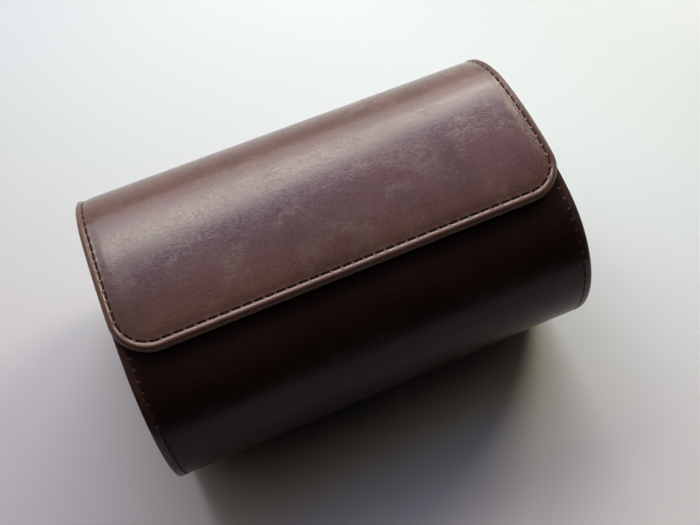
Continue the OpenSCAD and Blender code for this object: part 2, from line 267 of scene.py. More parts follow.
class Nodes:
    """Builds the node tree of a material or of the world. An input gets a value or a node's output."""

    def __init__(self, owner, shader="Principled BSDF", place="Object"):
        owner.use_nodes = True
        self.owner = owner
        self.tree = owner.node_tree
        self.shader = self.tree.nodes[shader]
        self.place = self.add("ShaderNodeTexCoord").outputs[place]

    def feed(self, node, inputs):
        for key, value in inputs.items():
            socket = node.inputs[key]
            if isinstance(value, bpy.types.NodeSocket):
                self.tree.links.new(value, socket)
            elif value is not None:
                socket.default_value = (*value, 1.0) if socket.type == "RGBA" else value

    def add(self, kind, inputs=None, **settings):
        node = self.tree.nodes.new(kind)
        for key, value in settings.items():
            setattr(node, key, value)
        self.feed(node, inputs or {})
        return node

    def stretched(self, scale, turn=(0, 0, 0), vector=None):
        inputs = {"Vector": vector or self.place, "Scale": scale, "Rotation": turn}
        return self.add("ShaderNodeMapping", inputs).outputs["Vector"]

    def warped(self, size_mm, reach_mm):
        """Places pushed about by as much as reach_mm, in lumps about size_mm across."""
        inputs = {"Vector": self.place, "Scale": 1 / (size_mm * MM), "Detail": 1.0}
        push = self.add("ShaderNodeTexNoise", inputs).outputs["Color"]
        inputs = {0: push, 1: (reach_mm * MM,) * 3, 2: self.place}
        return self.add("ShaderNodeVectorMath", inputs, operation="MULTIPLY_ADD").outputs["Vector"]

    def noise(self, size_mm, detail=3.0, rough=0.5, distort=0.0, vector=None):
        """Noise whose lumps are about size_mm across."""
        inputs = {"Vector": vector or self.place, "Scale": 1 / (size_mm * MM), "Detail": detail}
        inputs.update({"Roughness": rough, "Distortion": distort})
        return self.add("ShaderNodeTexNoise", inputs).outputs["Fac"]

    def cells(self, size_mm, feature="F1", vector=None):
        """Distance pattern of cells about size_mm across."""
        inputs = {"Vector": vector or self.place, "Scale": 1 / (size_mm * MM)}
        return self.add("ShaderNodeTexVoronoi", inputs, feature=feature).outputs["Distance"]

    def level(self, value, low, high, out_low=0.0, out_high=1.0, kind="SMOOTHSTEP"):
        """Turns a value between low and high into one between out_low and out_high."""
        inputs = {"Value": value, "From Min": low, "From Max": high, "To Min": out_low, "To Max": out_high}
        return self.add("ShaderNodeMapRange", inputs, interpolation_type=kind).outputs["Result"]

    def math(self, operation, *values):
        return self.add("ShaderNodeMath", dict(enumerate(values)), operation=operation).outputs[0]

    def times(self, a, b):
        return self.math("MULTIPLY", a, b)

    def plus(self, a, b):
        return self.math("ADD", a, b)

    def most(self, a, b):
        return self.math("MAXIMUM", a, b)

    def mix(self, factor, a, b, blend="MIX"):
        """Colour a where the factor is 0 and b, or the blend of both, where it is 1."""
        inputs = {"Factor": factor, 6: a, 7: b}
        return self.add("ShaderNodeMix", inputs, data_type="RGBA", blend_type=blend).outputs[2]

    def mask(self, name):
        return self.add("ShaderNodeAttribute", attribute_name=name).outputs["Fac"]

    def bump(self, height, depth_mm, strength, under=None):
        """Relief depth_mm high where height is 1, or that deep when depth_mm is negative."""
        inputs = {"Height": height, "Distance": abs(depth_mm) * MM, "Strength": strength, "Normal": under}
        return self.add("ShaderNodeBump", inputs, invert=depth_mm < 0).outputs["Normal"]

    def finish(self, color, roughness, normal=None, **more):
        inputs = {"Base Color": color, "Roughness": roughness, "Normal": normal}
        inputs.update({key.replace("_", " "): value for key, value in more.items()})
        self.feed(self.shader, inputs)
        return self.owner


def surface(name):
    return Nodes(bpy.data.materials.new(name))


def shade(color, share):
    """A darker share of a colour."""
    return tuple(share * part for part in color)


def leather(name, scuffs=1.0):
    """Smooth finished leather: cloudy colour, a fine pebbled grain, swirling wrinkles and rubbed patches.

    Masks on a mesh pale its crests with wear and a painted highlight, paint shade into its hollows, paint
    its cut edges and paint shade over its front.
    """
    n = surface(name)
    color = n.mix(n.level(n.noise(26, 2, 0.5, 0.4), 0.34, 0.68), DARK_BROWN, MIDDLE_BROWN)

    # fine creases that swirl along the hide, and the pebbles and specks of its grain
    flow = n.stretched((0.5, 1.0, 1.0), (0.4, 0.3, 0.6), n.warped(9.0, 2.4))
    ridge = n.math("ABSOLUTE", n.math("SUBTRACT", n.noise(1.1, 3, 0.65, 0.3, flow), 0.5))
    creases = n.level(ridge, 0.0, 0.055, 1.0, 0.0)
    pebbles = n.level(n.cells(0.8, "DISTANCE_TO_EDGE", n.warped(0.9, 0.35)), 0.0, 0.24, 1.0, 0.0)
    specks = n.level(n.noise(0.5, 2, 0.6, 0.0, flow), 0.42, 0.68)
    grain = n.times(pebbles, specks)
    dull = n.level(n.noise(0.6, 1, 0.5, 0.0, flow), 0.45, 0.68, 0.0, 0.3)
    color = n.mix(dull, color, shade(DARK_BROWN, 0.5))

    # patches where handling has rubbed the creases pale, and a few long scratches
    patches = n.level(n.noise(15, 3, 0.55, 0.5), 0.4, 0.7)
    rubbed = n.times(patches, n.level(n.noise(3.4, 2, 0.55), 0.12, 0.72))
    crackle = n.most(creases, n.times(specks, 0.7))
    crackle = n.times(crackle, n.level(rubbed, 0.0, 1.0, 0.16, 0.5))
    scratch = n.noise(0.45, 2, 0.5, 0.0, n.stretched((0.06, 1.0, 1.0), (0.2, 0.5, 0.7)))
    scratch = n.times(n.level(scratch, 0.64, 0.76), n.level(n.noise(17, 1, 0.5), 0.54, 0.7))
    scuff = n.most(n.most(crackle, n.times(scratch, 0.3)), n.times(rubbed, 0.24))
    # painted shade over the case's front, where the scuffs are also fainter
    deep = n.mask("deep")
    scuff = n.times(scuff, n.level(deep, 0.0, 1.0, scuffs, 0.4 * scuffs))
    color = n.mix(scuff, color, SCUFF_BROWN)

    # the masks: painted shade over the front, crests paled by wear and a painted highlight, painted shade
    # in the stitches' slots, and painted cut edges
    color = n.mix(deep, color, FRONT_SHADE_COLOR, "MULTIPLY")
    crest = n.mask("crest")
    color = n.mix(n.times(crest, 0.75), color, CREST_WEAR_AND_HIGHLIGHT)
    hollow = n.mask("hollow")
    color = n.mix(hollow, color, shade(DARK_BROWN, 0.12))
    color = n.mix(n.mask("paint"), color, EDGE_TAN)

    rough = n.level(n.noise(12, 2, 0.5), 0.3, 0.7, LEATHER_ROUGHNESS - 0.02, LEATHER_ROUGHNESS + 0.04)
    rough = n.plus(rough, n.times(n.most(scuff, hollow), 0.2))
    rough = n.plus(rough, n.times(n.most(deep, crest), 0.08))
    normal = n.bump(n.times(creases, n.level(rubbed, 0.0, 1.0, 0.5, 1.0)), -0.02, 0.8)
    normal = n.bump(grain, -0.014, 0.8, normal)
    normal = n.bump(specks, 0.009, 0.8, normal)
    shine = n.times(n.level(deep, 0.0, 1.0, 0.5, 0.18), n.level(crest, 0.0, 0.4, 1.0, 0.5))
    return n.finish(color, rough, normal, Specular_IOR_Level=shine, Specular_Tint=(1.0, 0.93, 0.92))


def suede(name, dark, light):
    """Short-pile suede: brushed patches, fine fibres and a soft sheen."""
    n = surface(name)
    brushed = n.level(n.noise(13, 5, 0.55, 0.45), 0.3, 0.72)
    fibres = n.noise(0.35, 4, 0.7, 0.4, n.stretched((1.0, 0.45, 1.0), (0.3, 0.2, 0.5)))
    color = n.mix(brushed, dark, light)
    color = n.mix(n.level(fibres, 0.4, 0.7, 0.0, 0.35), color, shade(dark, 0.45))
    normal = n.bump(n.noise(1.3, 3, 0.6), 0.1, 0.4, n.bump(fibres, 0.12, 0.7))
    rough = n.level(brushed, 0.0, 1.0, 0.82, 0.95)
    return n.finish(color, rough, normal, Sheen_Weight=0.5, Sheen_Roughness=0.5, Specular_IOR_Level=0.2)


def board():
    """Grey-brown fibre board."""
    n = surface("fibre_board")
    flecks = n.noise(0.8, 4, 0.7, 0.5, n.stretched((0.4, 1.0, 1.0)))
    color = n.mix(n.level(flecks, 0.35, 0.7), (0.36, 0.27, 0.18), (0.52, 0.42, 0.3))
    return n.finish(color, n.level(flecks, 0.3, 0.7, 0.8, 0.92), n.bump(flecks, 0.05, 0.5))


def foam():
    """Soft open-cell foam."""
    n = surface("cushion_foam")
    pores = n.cells(0.7)
    color = n.mix(n.level(pores, 0.1, 0.6), (0.55, 0.5, 0.38), (0.8, 0.76, 0.64))
    return n.finish(color, n.level(pores, 0.0, 0.7, 0.85, 0.97), n.bump(pores, 0.2, 0.6))


def waxed_thread():
    """Waxed dark brown thread."""
    n = surface("waxed_thread")
    fibre = n.noise(0.12, 3, 0.6, 0.5)
    color = n.mix(n.level(fibre, 0.35, 0.65), (0.012, 0.007, 0.006), (0.03, 0.018, 0.014))
    rough = n.level(fibre, 0.3, 0.7, 0.55, 0.72)
    return n.finish(color, rough, n.bump(fibre, 0.04, 0.5), Specular_IOR_Level=0.3)


def snap_metal():
    """Antique brass: darker in blotches, rubbed bright elsewhere."""
    n = surface("antique_brass")
    tarnish = n.level(n.noise(1.6, 4, 0.6, 0.6), 0.4, 0.66)
    scratch = n.noise(0.2, 2, 0.6, 0.0, n.stretched((0.1, 1.0, 1.0), (0, 0, 0.6)))
    color = n.mix(tarnish, (0.56, 0.4, 0.2), (0.2, 0.13, 0.07))
    return n.finish(color, n.level(tarnish, 0.0, 1.0, 0.24, 0.42), n.bump(scratch, 0.01, 0.3), Metallic=1.0)


EDGE_TAN = (0.18, 0.118, 0.06)
# pale colour of crests: wear and a painted highlight
CREST_WEAR_AND_HIGHLIGHT = (0.25, 0.12, 0.08)
DARK_BROWN = (0.102, 0.043, 0.035)
MIDDLE_BROWN = (0.136, 0.058, 0.047)
SCUFF_BROWN = (0.255, 0.165, 0.118)
# colour multiplied over the case's front as painted shade
FRONT_SHADE_COLOR = (0.25, 0.25, 0.245)
LEATHER_ROUGHNESS = 0.17

BY_SLOT = {
    "case_leather": leather("case_leather", scuffs=0.7),
    "flap_leather": leather("flap_leather"),
    "suede": suede("lining_suede", (0.2, 0.12, 0.07), (0.3, 0.19, 0.115)),
    "cushion_suede": suede("cushion_suede", (0.24, 0.15, 0.09), (0.36, 0.235, 0.145)),
    "board": board(),
    "foam": foam(),
    "thread": waxed_thread(),
    "snap_metal": snap_metal(),
}
for subpart in frame["record"]["subparts"]:
    cad_node = frame["nodes"][subpart["node"]]
    cad_node.data.materials.clear()
    cad_node.data.materials.append(BY_SLOT[subpart["material_slot"]])


# ---------------------------------------------------------------- rows of stitches

FLAP_ROW_RADIUS = FLAP_CORNER_RADIUS - FLAP_STITCH_IN
CORNER_Y = FLAP_CORNER_RADIUS - FLAP_FORWARD
FLAP_SIDE = float(length_at(angle_of_y(CORNER_Y, THREAD_SINK), THREAD_SINK))
FLAP_CORNER = FLAP_ROW_RADIUS * math.pi / 2
FLAP_FRONT_HALF = HALF_LENGTH - FLAP_CORNER_RADIUS
FLAP_HALF_ROW = FLAP_SIDE + FLAP_CORNER + FLAP_FRONT_HALF
FLAP_COUNT = math.floor(2 * FLAP_HALF_ROW / STITCH_PITCH)
FLAP_STEP = 2 * FLAP_HALF_ROW / FLAP_COUNT
SIDE_SQUEEZE = 1.4
FRONT_SQUEEZE = 0.8
SQUEEZE_END = 9.8

RIM_START = float(length_at(2 * math.pi, THREAD_SINK))
RIM_ROW = RIM_START - float(length_at(angle_of_y(-LIP_FORWARD - LIP_BINDING, THREAD_SINK), THREAD_SINK))
RIM_COUNT = math.floor(RIM_ROW / STITCH_PITCH)
RIM_STEP = RIM_ROW / RIM_COUNT
LIP_COUNT = math.floor((2 * (HALF_LENGTH - RIM_STITCH_IN) - 2 * STITCH_PITCH) / STITCH_PITCH)
BASE_HALF_WIDTH = 15.7


def row_wave(t, step):
    """Signed distance along a row to the nearest gap between two stitches."""
    return (np.mod(t / step + 0.5, 1.0) - 0.5) * step


def squeezed(inset, squeeze):
    """An inset drawn towards the free edge by squeeze at the stitches, and by nothing further in."""
    knots = [0.0, FLAP_STITCH_IN, SQUEEZE_END, 2 * SQUEEZE_END]
    return inset - squeeze * np.interp(inset, knots, [0.0, 1.0, 0.0, 0.0])


def flap_place(t, inset):
    """x and the oval's angle at a length t along the flap's row, moved to an inset from the free edge.

    The rolled edge is narrower at the flap's sides than along its front.
    """
    t, inset = np.broadcast_arrays(np.asarray(t, float), np.asarray(inset, float))
    right = t > FLAP_HALF_ROW
    u = np.where(right, 2 * FLAP_HALF_ROW - t, t)
    round_corner = smooth_step((u - FLAP_SIDE) / FLAP_CORNER)
    inset = squeezed(inset, SIDE_SQUEEZE + (FRONT_SQUEEZE - SIDE_SQUEEZE) * round_corner)
    turn = np.clip((u - FLAP_SIDE) / FLAP_ROW_RADIUS, 0, math.pi / 2)
    radius = FLAP_CORNER_RADIUS - inset
    front = u > FLAP_SIDE + FLAP_CORNER
    x = np.where(front, FLAP_HALF_ROW - u, FLAP_FRONT_HALF + radius * np.cos(turn))
    beyond = angle_of_y(CORNER_Y - radius * np.sin(turn), THREAD_SINK)
    return np.where(right, x, -x), np.where(u < FLAP_SIDE, angle_at(u, THREAD_SINK), beyond)


def rim_angle(t):
    """The oval's angle at a length t along a rim's row, from the hinge under the tube to the lip."""
    return angle_at(RIM_START - t, THREAD_SINK)


def stitch_mesh(start, end, outward):
    """Points and faces of one stitch: a twisted thread whose ends dive into the leather."""
    rings, sides, twist = 13, 10, 4.2
    along = end - start
    length = np.linalg.norm(along)
    along = along / length
    across = np.cross(outward, along)
    across = across / np.linalg.norm(across)
    up = np.cross(along, across)
    points = []
    for i in range(rings):
        f = i / (rings - 1)
        tip = min(f, 1 - f) * 2
        dive = -0.15 - 0.4 * (1 - smooth_step(tip * 2.2))
        radius = THREAD_DIAMETER / 2 * (0.4 + 0.25 * float(smooth_step(tip * 3.0)))
        middle = start + along * (f * length) + up * float(dive)
        for j in range(sides):
            theta = 2 * math.pi * j / sides
            ply = 1 + 0.13 * math.cos(2 * (theta - f * twist))
            points.append(middle + radius * ply * (math.cos(theta) * across + math.sin(theta) * up))
    return points, capped_tube(rings, sides)


def stitch_row(name, stitches, body, replaces):
    """One piece from a list of stitches, each its two ends and the oval's angle there."""
    points, faces = [], []
    for start, end, angle in stitches:
        more, rows = stitch_mesh(start, end, outward_at(float(angle)))
        faces += [tuple(index + len(points) for index in face) for face in rows]
        points += more
    return add_piece(name, points, faces, "thread", body, (replaces,))


def outward_at(angle):
    """Direction straight out of the oval where its normal has this angle."""
    return np.array([0.0, math.cos(angle), math.sin(angle)])


def flap_thread():
    """The row of stitches round the flap."""
    stitches = []
    for i in range(FLAP_COUNT):
        at = (i + 0.5) * FLAP_STEP
        places = [flap_place(at + side * STITCH_LENGTH / 2, FLAP_STITCH_IN) for side in (-1, 1)]
        ends = [on_tube(x, angle, THREAD_SINK, FLAP_LIFT) for x, angle in places]
        stitches.append((*ends, flap_place(at, FLAP_STITCH_IN)[1]))
    return stitch_row("flap_thread", stitches, "flap", "flap_stitching")


def tube_thread():
    """The rows of stitches along both rims, left out where the tube stands, and along the lip."""
    stitches = []
    for side in (-1, 1):
        x = side * (HALF_LENGTH - RIM_STITCH_IN)
        for i in range(RIM_COUNT):
            at = (i + 0.5) * RIM_STEP
            ends = [on_tube(x, rim_angle(at + end * STITCH_LENGTH / 2), THREAD_SINK) for end in (-1, 1)]
            if ends[0][2] > MID_Z or min(abs(ends[0][1]), abs(ends[1][1])) > BASE_HALF_WIDTH:
                stitches.append((*ends, rim_angle(at)))
    angle = angle_of_y(LIP_GROOVE_Y, THREAD_SINK)
    for i in range(LIP_COUNT):
        x = (i - (LIP_COUNT - 1) / 2) * STITCH_PITCH
        ends = [on_tube(x + side * STITCH_LENGTH / 2, angle, THREAD_SINK) for side in (-1, 1)]
        stitches.append((*ends, angle))
    return stitch_row("tube_thread", stitches, "case", "wrap_stitching")


# ---------------------------------------------------------------- leather at the edges

DENSE_STEP = 0.33
COARSER = 3  # steps of a dense row to one of a coarse row beside it
HINGE_END = 0.35
UNDULATION = 0.05
CALM_REACH = 8
SLOT_DEPTH = 0.6
SLOT_HALF = 0.42
SLOT_SHADE_WIDTH = 0.8
SLANT = 0.5
BRIDGE_WIDTH = 2.0
BRIDGE_RISE = 0.12
BEAD_FOOT = 0.22
BEAD_END = 2.84
PAD = 0.26
COVER_THICKNESS = 0.3
GLUED_THICKNESS = 0.5
FOLDING_THICKNESS = 0.4
FIELD_INSETS = [*np.arange(2.98, 5.1, 0.13), 5.25, 5.6, 6.3]
FIELD_EDGE = FIELD_INSETS[-1]
FIELD = [(inset, None) for inset in FIELD_INSETS]
# painted shade over the case's front starts at this y and is full this much further forward
FRONT_SHADE_FROM_Y = 18
FRONT_SHADE_REACH = 34


def step_count(length, step):
    """How many steps a length takes, rounded up so that a coarse row can have every third point."""
    return COARSER * math.ceil(length / step / COARSER)


def flap_edge_profile():
    """Inset and height over the flap's rolled edge, from where it is turned under to its groove."""
    under = [(BEAD_WIDTH, -2.5), (BEAD_WIDTH - 0.1, -2.72), (BEAD_WIDTH - 0.5, -FLAP_THICKNESS)]
    front = [(1.3, -2.8), (0.8, -2.7), (0.35, -2.4), (0.1, -2.0), (0.0, -1.6), (0.04, -1.25), (0.15, -0.95)]
    crest = [(0.32, -0.66), (0.56, -0.38), (0.86, -0.12), (1.2, 0.11), (1.6, 0.3), (1.95, 0.39)]
    slope = [(2.2, BEAD_RISE), (2.45, 0.37), (2.66, 0.3), (BEAD_END, BEAD_FOOT)]
    return under + front + crest + slope + FIELD


def tube_edge_profile():
    """Inset and height over the tube's trimmed edge, with as many points as the flap's."""
    radius = 0.6
    under = [(1.2, -WRAP_LEATHER), (0.9, -WRAP_LEATHER), (0.5, -1.3)]
    turns = np.radians(np.linspace(-60, 90, 10))
    roll = [(radius - radius * math.cos(a), -radius + radius * math.sin(a)) for a in turns]
    border = [(inset, None) for inset in np.linspace(0.8, 2.68, 8)]
    return under + roll + border + FIELD


def edge_paint(height):
    """How strongly the paint of a cut edge shows: on the flap's side and not on its top."""
    return 0.8 * smooth_step((-1.0 - height) / 0.8)


def undulation(points, seed):
    """Gentle unevenness of leather over board."""
    return UNDULATION * unevenness(points, 30, seed) + 0.25 * UNDULATION * unevenness(points, 9, seed + 1)


def stitch_gap(t, step, inwards):
    """1 on the slanted bridges of leather between stitches and 0 in the slots that hold them."""
    return bump_shape(row_wave(t + SLANT * inwards, step), BRIDGE_WIDTH)


def slot_shape(gap, inwards):
    """Height across a row: a deep slot at each stitch and a shallow, swollen dip on each bridge."""
    depth = SLOT_DEPTH * (1 - 0.9 * gap)
    return -depth * (1 - smooth_step(np.abs(inwards) / SLOT_HALF)) + BRIDGE_RISE * gap


def flap_skin_height(t, inset):
    """Height of the flap's skin inside its rolled edge: the roll's foot, the slots, the padded field."""
    inwards = inset - FLAP_STITCH_IN
    gap = stitch_gap(t, FLAP_STEP, inwards) * bump_shape(inwards, 2.0)
    foot = BEAD_FOOT * (1 - smooth_step((inset - BEAD_END) / 0.7 + 0.12))
    return foot + slot_shape(gap, inwards) + PAD * smooth_step(inwards / 3.4)


def tube_skin_height(t, inset):
    """Height of the tube's skin beside a rim: a soft border, the stitched slots, then the wall."""
    inwards = inset - RIM_STITCH_IN
    gap = stitch_gap(t, RIM_STEP, inwards) * bump_shape(inwards, 2.2)
    return slot_shape(gap, inwards) + 0.1 * bump_shape(inset - 1.2, 2.0)


def deep_at(points):
    """How much painted shade the leather gets: fully at the case's front, less on its rims, not at the
    hinge.
    """
    rim = smooth_step((np.abs(points[..., 0]) - HALF_LENGTH + RIM_STITCH_IN + 1.4) / 2.6)
    return smooth_step((FRONT_SHADE_FROM_Y - points[..., 1]) / FRONT_SHADE_REACH) * (1 - 0.5 * rim)


class Skin:
    """Collects the points, faces and masks of one cover: painted edges, wear with a painted highlight, and
    painted shade.
    """

    def __init__(self):
        self.points, self.faces, self.count = [], [], 0
        self.masks = {"crest": [], "hollow": [], "paint": []}

    def row(self, points, **masks):
        """Adds a row of points with its masks' values, and says where it starts."""
        first = self.count
        self.points.append(points)
        for name, store in self.masks.items():
            store.append(np.broadcast_to(np.asarray(masks.get(name, 0.0), float), points.shape[:-1]))
        self.count += len(points)
        return first

    def join_rows(self, first, rows, columns):
        self.faces += grid_faces(rows, columns, first)

    def join_coarser(self, dense_first, coarse_first, coarse_columns):
        """Joins a dense row to a row with one point for every three of its own."""
        for j in range(coarse_columns - 1):
            self.join_three(dense_first + COARSER * j, coarse_first + j, coarse_first + j + 1)

    def join_three(self, dense, low, high):
        """Joins four points of a dense row to two of a coarse one."""
        self.faces.append((dense, dense + 1, low))
        self.faces += [(dense + 1, dense + 2, high, low), (dense + 2, dense + 3, high)]

    def piece(self, name, slot, body, *replaces, with_masks=True, thick=COVER_THICKNESS, **shell):
        """The finished piece. A skin with masks gets them, with the painted shade over the case's front,
        and its doubled points become one.
        """
        points = np.concatenate(self.points)
        masks = {}
        if with_masks:
            masks = {key: np.concatenate(values) for key, values in self.masks.items()}
            # painted shade over the case leather's front
            masks["deep"] = deep_at(points) * (slot == "case_leather")
        return add_piece(name, points, self.faces, slot, body, replaces, masks, with_masks, thick, **shell)


# ---------------------------------------------------------------- flap

STUD_X = HALF_LENGTH - 31.0
STUD_Y = (LIP_GROOVE_Y - FLAP_FORWARD + FLAP_STITCH_IN) / 2
STUD_RADIUS = 4.5
DISH_RIM = 1.2
FLAP_DISH = 0.5
LIP_DISH = 0.45
STUD_ANGLE = float(angle_of_y(STUD_Y))
SOCKET_HOLE = 3.8


def flap_stops(side, step):
    """Lengths along the flap's row from hinge to hinge, and the steps to a side's and the front's ends."""
    marks = [HINGE_END, FLAP_SIDE, FLAP_SIDE + FLAP_CORNER]
    marks += [2 * FLAP_HALF_ROW - mark for mark in reversed(marks)]
    counts = [step_count(length, step) for length in (side, FLAP_CORNER, 2 * FLAP_FRONT_HALF)]
    counts += counts[1::-1]
    parts = [np.linspace(marks[i], marks[i + 1], counts[i] + 1)[:-1] for i in range(5)]
    return np.concatenate(parts + [[marks[-1]]]), counts[0], sum(counts[:2]), sum(counts[:3])


def stud_dish(points, depth):
    """Depth pressed into a skin round each press stud."""
    away = np.hypot(np.abs(points[..., 0]) - STUD_X, points[..., 1] - STUD_Y)
    return depth * smooth_step((STUD_RADIUS + DISH_RIM - away) / 1.3)


def flap_cover():
    """The flap's leather with its rolled edge, as rings round the free edges and a grid inside them."""
    skin = Skin()
    stops, side_end, front_start, front_end = flap_stops(FLAP_SIDE - HINGE_END, DENSE_STEP)
    coarse = stops[::COARSER]

    def ring(t, inset, height=None):
        x, angle = flap_place(t, inset)
        base = on_tube(x, angle, 0.0, FLAP_LIFT)
        calm = smooth_step(np.minimum(t, 2 * FLAP_HALF_ROW - t) / CALM_REACH)
        if height is None:
            groove = bump_shape(inset - FLAP_STITCH_IN, SLOT_SHADE_WIDTH)
            gap = stitch_gap(t, FLAP_STEP, inset - FLAP_STITCH_IN)
            wavy = calm * smooth_step((inset - BEAD_WIDTH) / 6) * undulation(base, 1)
            points = on_tube(x, angle, flap_skin_height(t, inset) + wavy, FLAP_LIFT)
            # the bridges between stitches are paled by wear and a painted highlight, and the slots get
            # painted shade
            return skin.row(points, crest=1.3 * groove * gap, hollow=0.85 * groove * (1 - gap))
        lumps = 0.05 * calm * unevenness(base, 5, 3)
        top = smooth_step((height + 1.5) / 0.9)
        points = on_tube(x, angle, height + lumps, FLAP_LIFT)
        # the roll's top is paled by wear and a painted highlight
        return skin.row(points, crest=0.4 * top, paint=edge_paint(height))

    firsts = [ring(stops, inset, height) for inset, height in flap_edge_profile()]
    skin.join_rows(0, len(firsts), len(stops))
    last = firsts[-1]
    firsts = [ring(coarse, inset) for inset in (6.9, 8.2, 9.8, 11.4, FLAP_CORNER_RADIUS)]
    skin.join_coarser(last, firsts[0], len(coarse))
    skin.join_rows(firsts[0], len(firsts), len(coarse))

    front = coarse[front_start // COARSER:front_end // COARSER + 1]
    xs = flap_place(front, FLAP_CORNER_RADIUS)[0]
    inner = []
    for t in coarse[:side_end // COARSER + 1]:
        angle = flap_place(t, FLAP_CORNER_RADIUS)[1]
        height = PAD + smooth_step(t / CALM_REACH) * undulation(on_tube(xs, angle, 0.0, FLAP_LIFT), 1)
        inner.append(skin.row(on_tube(xs, angle, height, FLAP_LIFT)))
    skin.join_rows(inner[0], len(inner), len(xs))
    return skin.piece("flap_cover", "flap_leather", "flap", "flap_leather", "flap_edge_bead")


def flap_lining():
    """Suede under the flap, dished round the sockets and cut out inside them."""
    skin = Skin()
    stops, side_end, front_start, front_end = flap_stops(FLAP_SIDE, 1.2)
    under = -FLAP_THICKNESS
    edge = [(BEAD_WIDTH, under + 0.45), (BEAD_WIDTH + 0.1, under + 0.2), (BEAD_WIDTH + 0.35, under + 0.04)]
    field = [(inset, under) for inset in (4.2, 5.5, 7.5, 10.0, FLAP_CORNER_RADIUS)]

    def lay(x, angle, height):
        base = on_tube(x, angle, 0.0, FLAP_LIFT)
        wavy = np.minimum(0.06 * unevenness(base, 14, 8), 0.0)
        return skin.row(on_tube(x, angle, height + stud_dish(base, FLAP_DISH) + wavy, FLAP_LIFT))

    rings = [lay(*flap_place(stops, inset), height) for inset, height in edge + field]
    skin.join_rows(0, len(rings), len(stops))
    xs = flap_place(stops[front_start:front_end + 1], FLAP_CORNER_RADIUS)[0]
    rows = [lay(xs, flap_place(t, FLAP_CORNER_RADIUS)[1], under) for t in stops[:side_end + 1]]
    skin.join_rows(rows[0], len(rows), len(xs))
    cut_out(skin, SOCKET_HOLE)
    return skin.piece("flap_suede", "suede", "flap", "flap_lining", thick=FOLDING_THICKNESS, facing=-1)


def cut_out(skin, radius):
    """Cuts a round hole in a skin at each press stud."""
    points = np.concatenate(skin.points)
    middle = points_at(np.where(points[:, 0] > 0, STUD_X, -STUD_X), STUD_Y, 0.0)[:, :2]
    outward = points[:, :2] - middle
    away = np.hypot(outward[:, 0], outward[:, 1])
    kept = [face for face in skin.faces if np.mean(away[list(face)]) > radius]
    lost = [face for face in skin.faces if np.mean(away[list(face)]) <= radius]
    rim = np.intersect1d(np.concatenate(kept), np.concatenate(lost))
    points[rim, :2] = middle[rim] + outward[rim] * (radius / away[rim])[:, None]
    skin.points = [points]
    skin.faces = kept


# ---------------------------------------------------------------- tube

LIP_ZONE = 4.6
LIP_BRIDGE_WIDTH = 1.5
LIP_DIP_WIDTH = 1.9


def tube_cover():
    """The tube's leather from under the hinge, round the base and up to the lip's binding."""
    skin = Skin()
    main_n = step_count(RIM_ROW - HINGE_END - LIP_ZONE, DENSE_STEP)
    main_t = np.linspace(HINGE_END, RIM_ROW - LIP_ZONE, main_n + 1)
    lip_t = np.linspace(RIM_ROW - LIP_ZONE, RIM_ROW, step_count(LIP_ZONE, DENSE_STEP) + 1)
    all_t = np.concatenate([main_t, lip_t[1:]])
    edge_x = HALF_LENGTH - FIELD_EDGE
    dense_x = np.linspace(-edge_x, edge_x, step_count(2 * edge_x, DENSE_STEP) + 1)
    coarse_x = dense_x[::COARSER]
    row_start = STITCH_PITCH * (LIP_COUNT % 2) / 2

    def lay(x, t, height, crest=0.0, hollow=0.0, paint=0.0):
        """Lays a row at x and t, either of them a row of numbers, with the lip's slots and stud dishes."""
        angle = rim_angle(t)
        base = on_tube(x, angle, 0.0)
        inset = HALF_LENGTH - np.abs(base[:, 0])
        calm = smooth_step((inset - 3.5) / CALM_REACH) * smooth_step(t / CALM_REACH)
        along = length_at(angle) - length_at(angle_of_y(LIP_GROOVE_Y))
        up = angle < math.pi
        lip_gap = bump_shape(row_wave(base[:, 0] + row_start, STITCH_PITCH), LIP_BRIDGE_WIDTH)
        within = smooth_step((inset - RIM_STITCH_IN - 0.3) / 0.6) * up
        groove = bump_shape(along, LIP_DIP_WIDTH) * within * (1 - 0.72 * lip_gap)
        height = height + calm * undulation(base, 5)
        height = height - GROOVE_DEPTH * groove - up * stud_dish(base, LIP_DISH)
        row = on_tube(x, angle, height)
        row[:, 2] = np.maximum(row[:, 2], 0.0)
        # the lip's bridges are paled by wear and a painted highlight, and its groove gets painted shade
        crest = crest + 0.8 * within * bump_shape(along, 1.4) * lip_gap
        return skin.row(row, crest=crest, hollow=hollow + 0.7 * groove, paint=paint)

    side_last = {}
    for side in (-1, 1):
        firsts = []
        for inset, height in tube_edge_profile():
            groove = bump_shape(inset - RIM_STITCH_IN, SLOT_SHADE_WIDTH)
            gap = stitch_gap(all_t, RIM_STEP, inset - RIM_STITCH_IN)
            cut = 0.0 if height is None else smooth_step((-0.08 - height) / 0.3)
            value = tube_skin_height(all_t, inset) if height is None else height
            x = side * (HALF_LENGTH - inset)
            # the bridges between stitches are paled by wear and a painted highlight, and the slots get
            # painted shade
            firsts.append(lay(x, all_t, value, 0.8 * groove * gap, 0.9 * groove * (1 - gap), cut))
        skin.join_rows(firsts[0], len(firsts), len(all_t))
        side_last[side] = firsts[-1]

    coarse_t = main_t[::COARSER]
    firsts = [lay(x, coarse_t, 0.0) for x in coarse_x[1:-1]]
    skin.join_rows(firsts[0], len(firsts), len(coarse_t))
    skin.join_coarser(side_last[-1], firsts[0], len(coarse_t))
    skin.join_coarser(side_last[1], firsts[-1], len(coarse_t))

    lip_rows = [lay(dense_x, t, 0.0) for t in lip_t]
    skin.join_rows(lip_rows[0], len(lip_rows), len(dense_x))
    ends = [side_last[-1] + main_n, *[first + len(coarse_t) - 1 for first in firsts], side_last[1] + main_n]
    for j, (low, high) in enumerate(zip(ends, ends[1:])):
        skin.join_three(lip_rows[0] + COARSER * j, low, high)
    return skin.piece("tube_cover", "case_leather", "case", "outer_wrap")


def bends(fold):
    """Moves a fold's placement into its mesh."""
    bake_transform(fold)


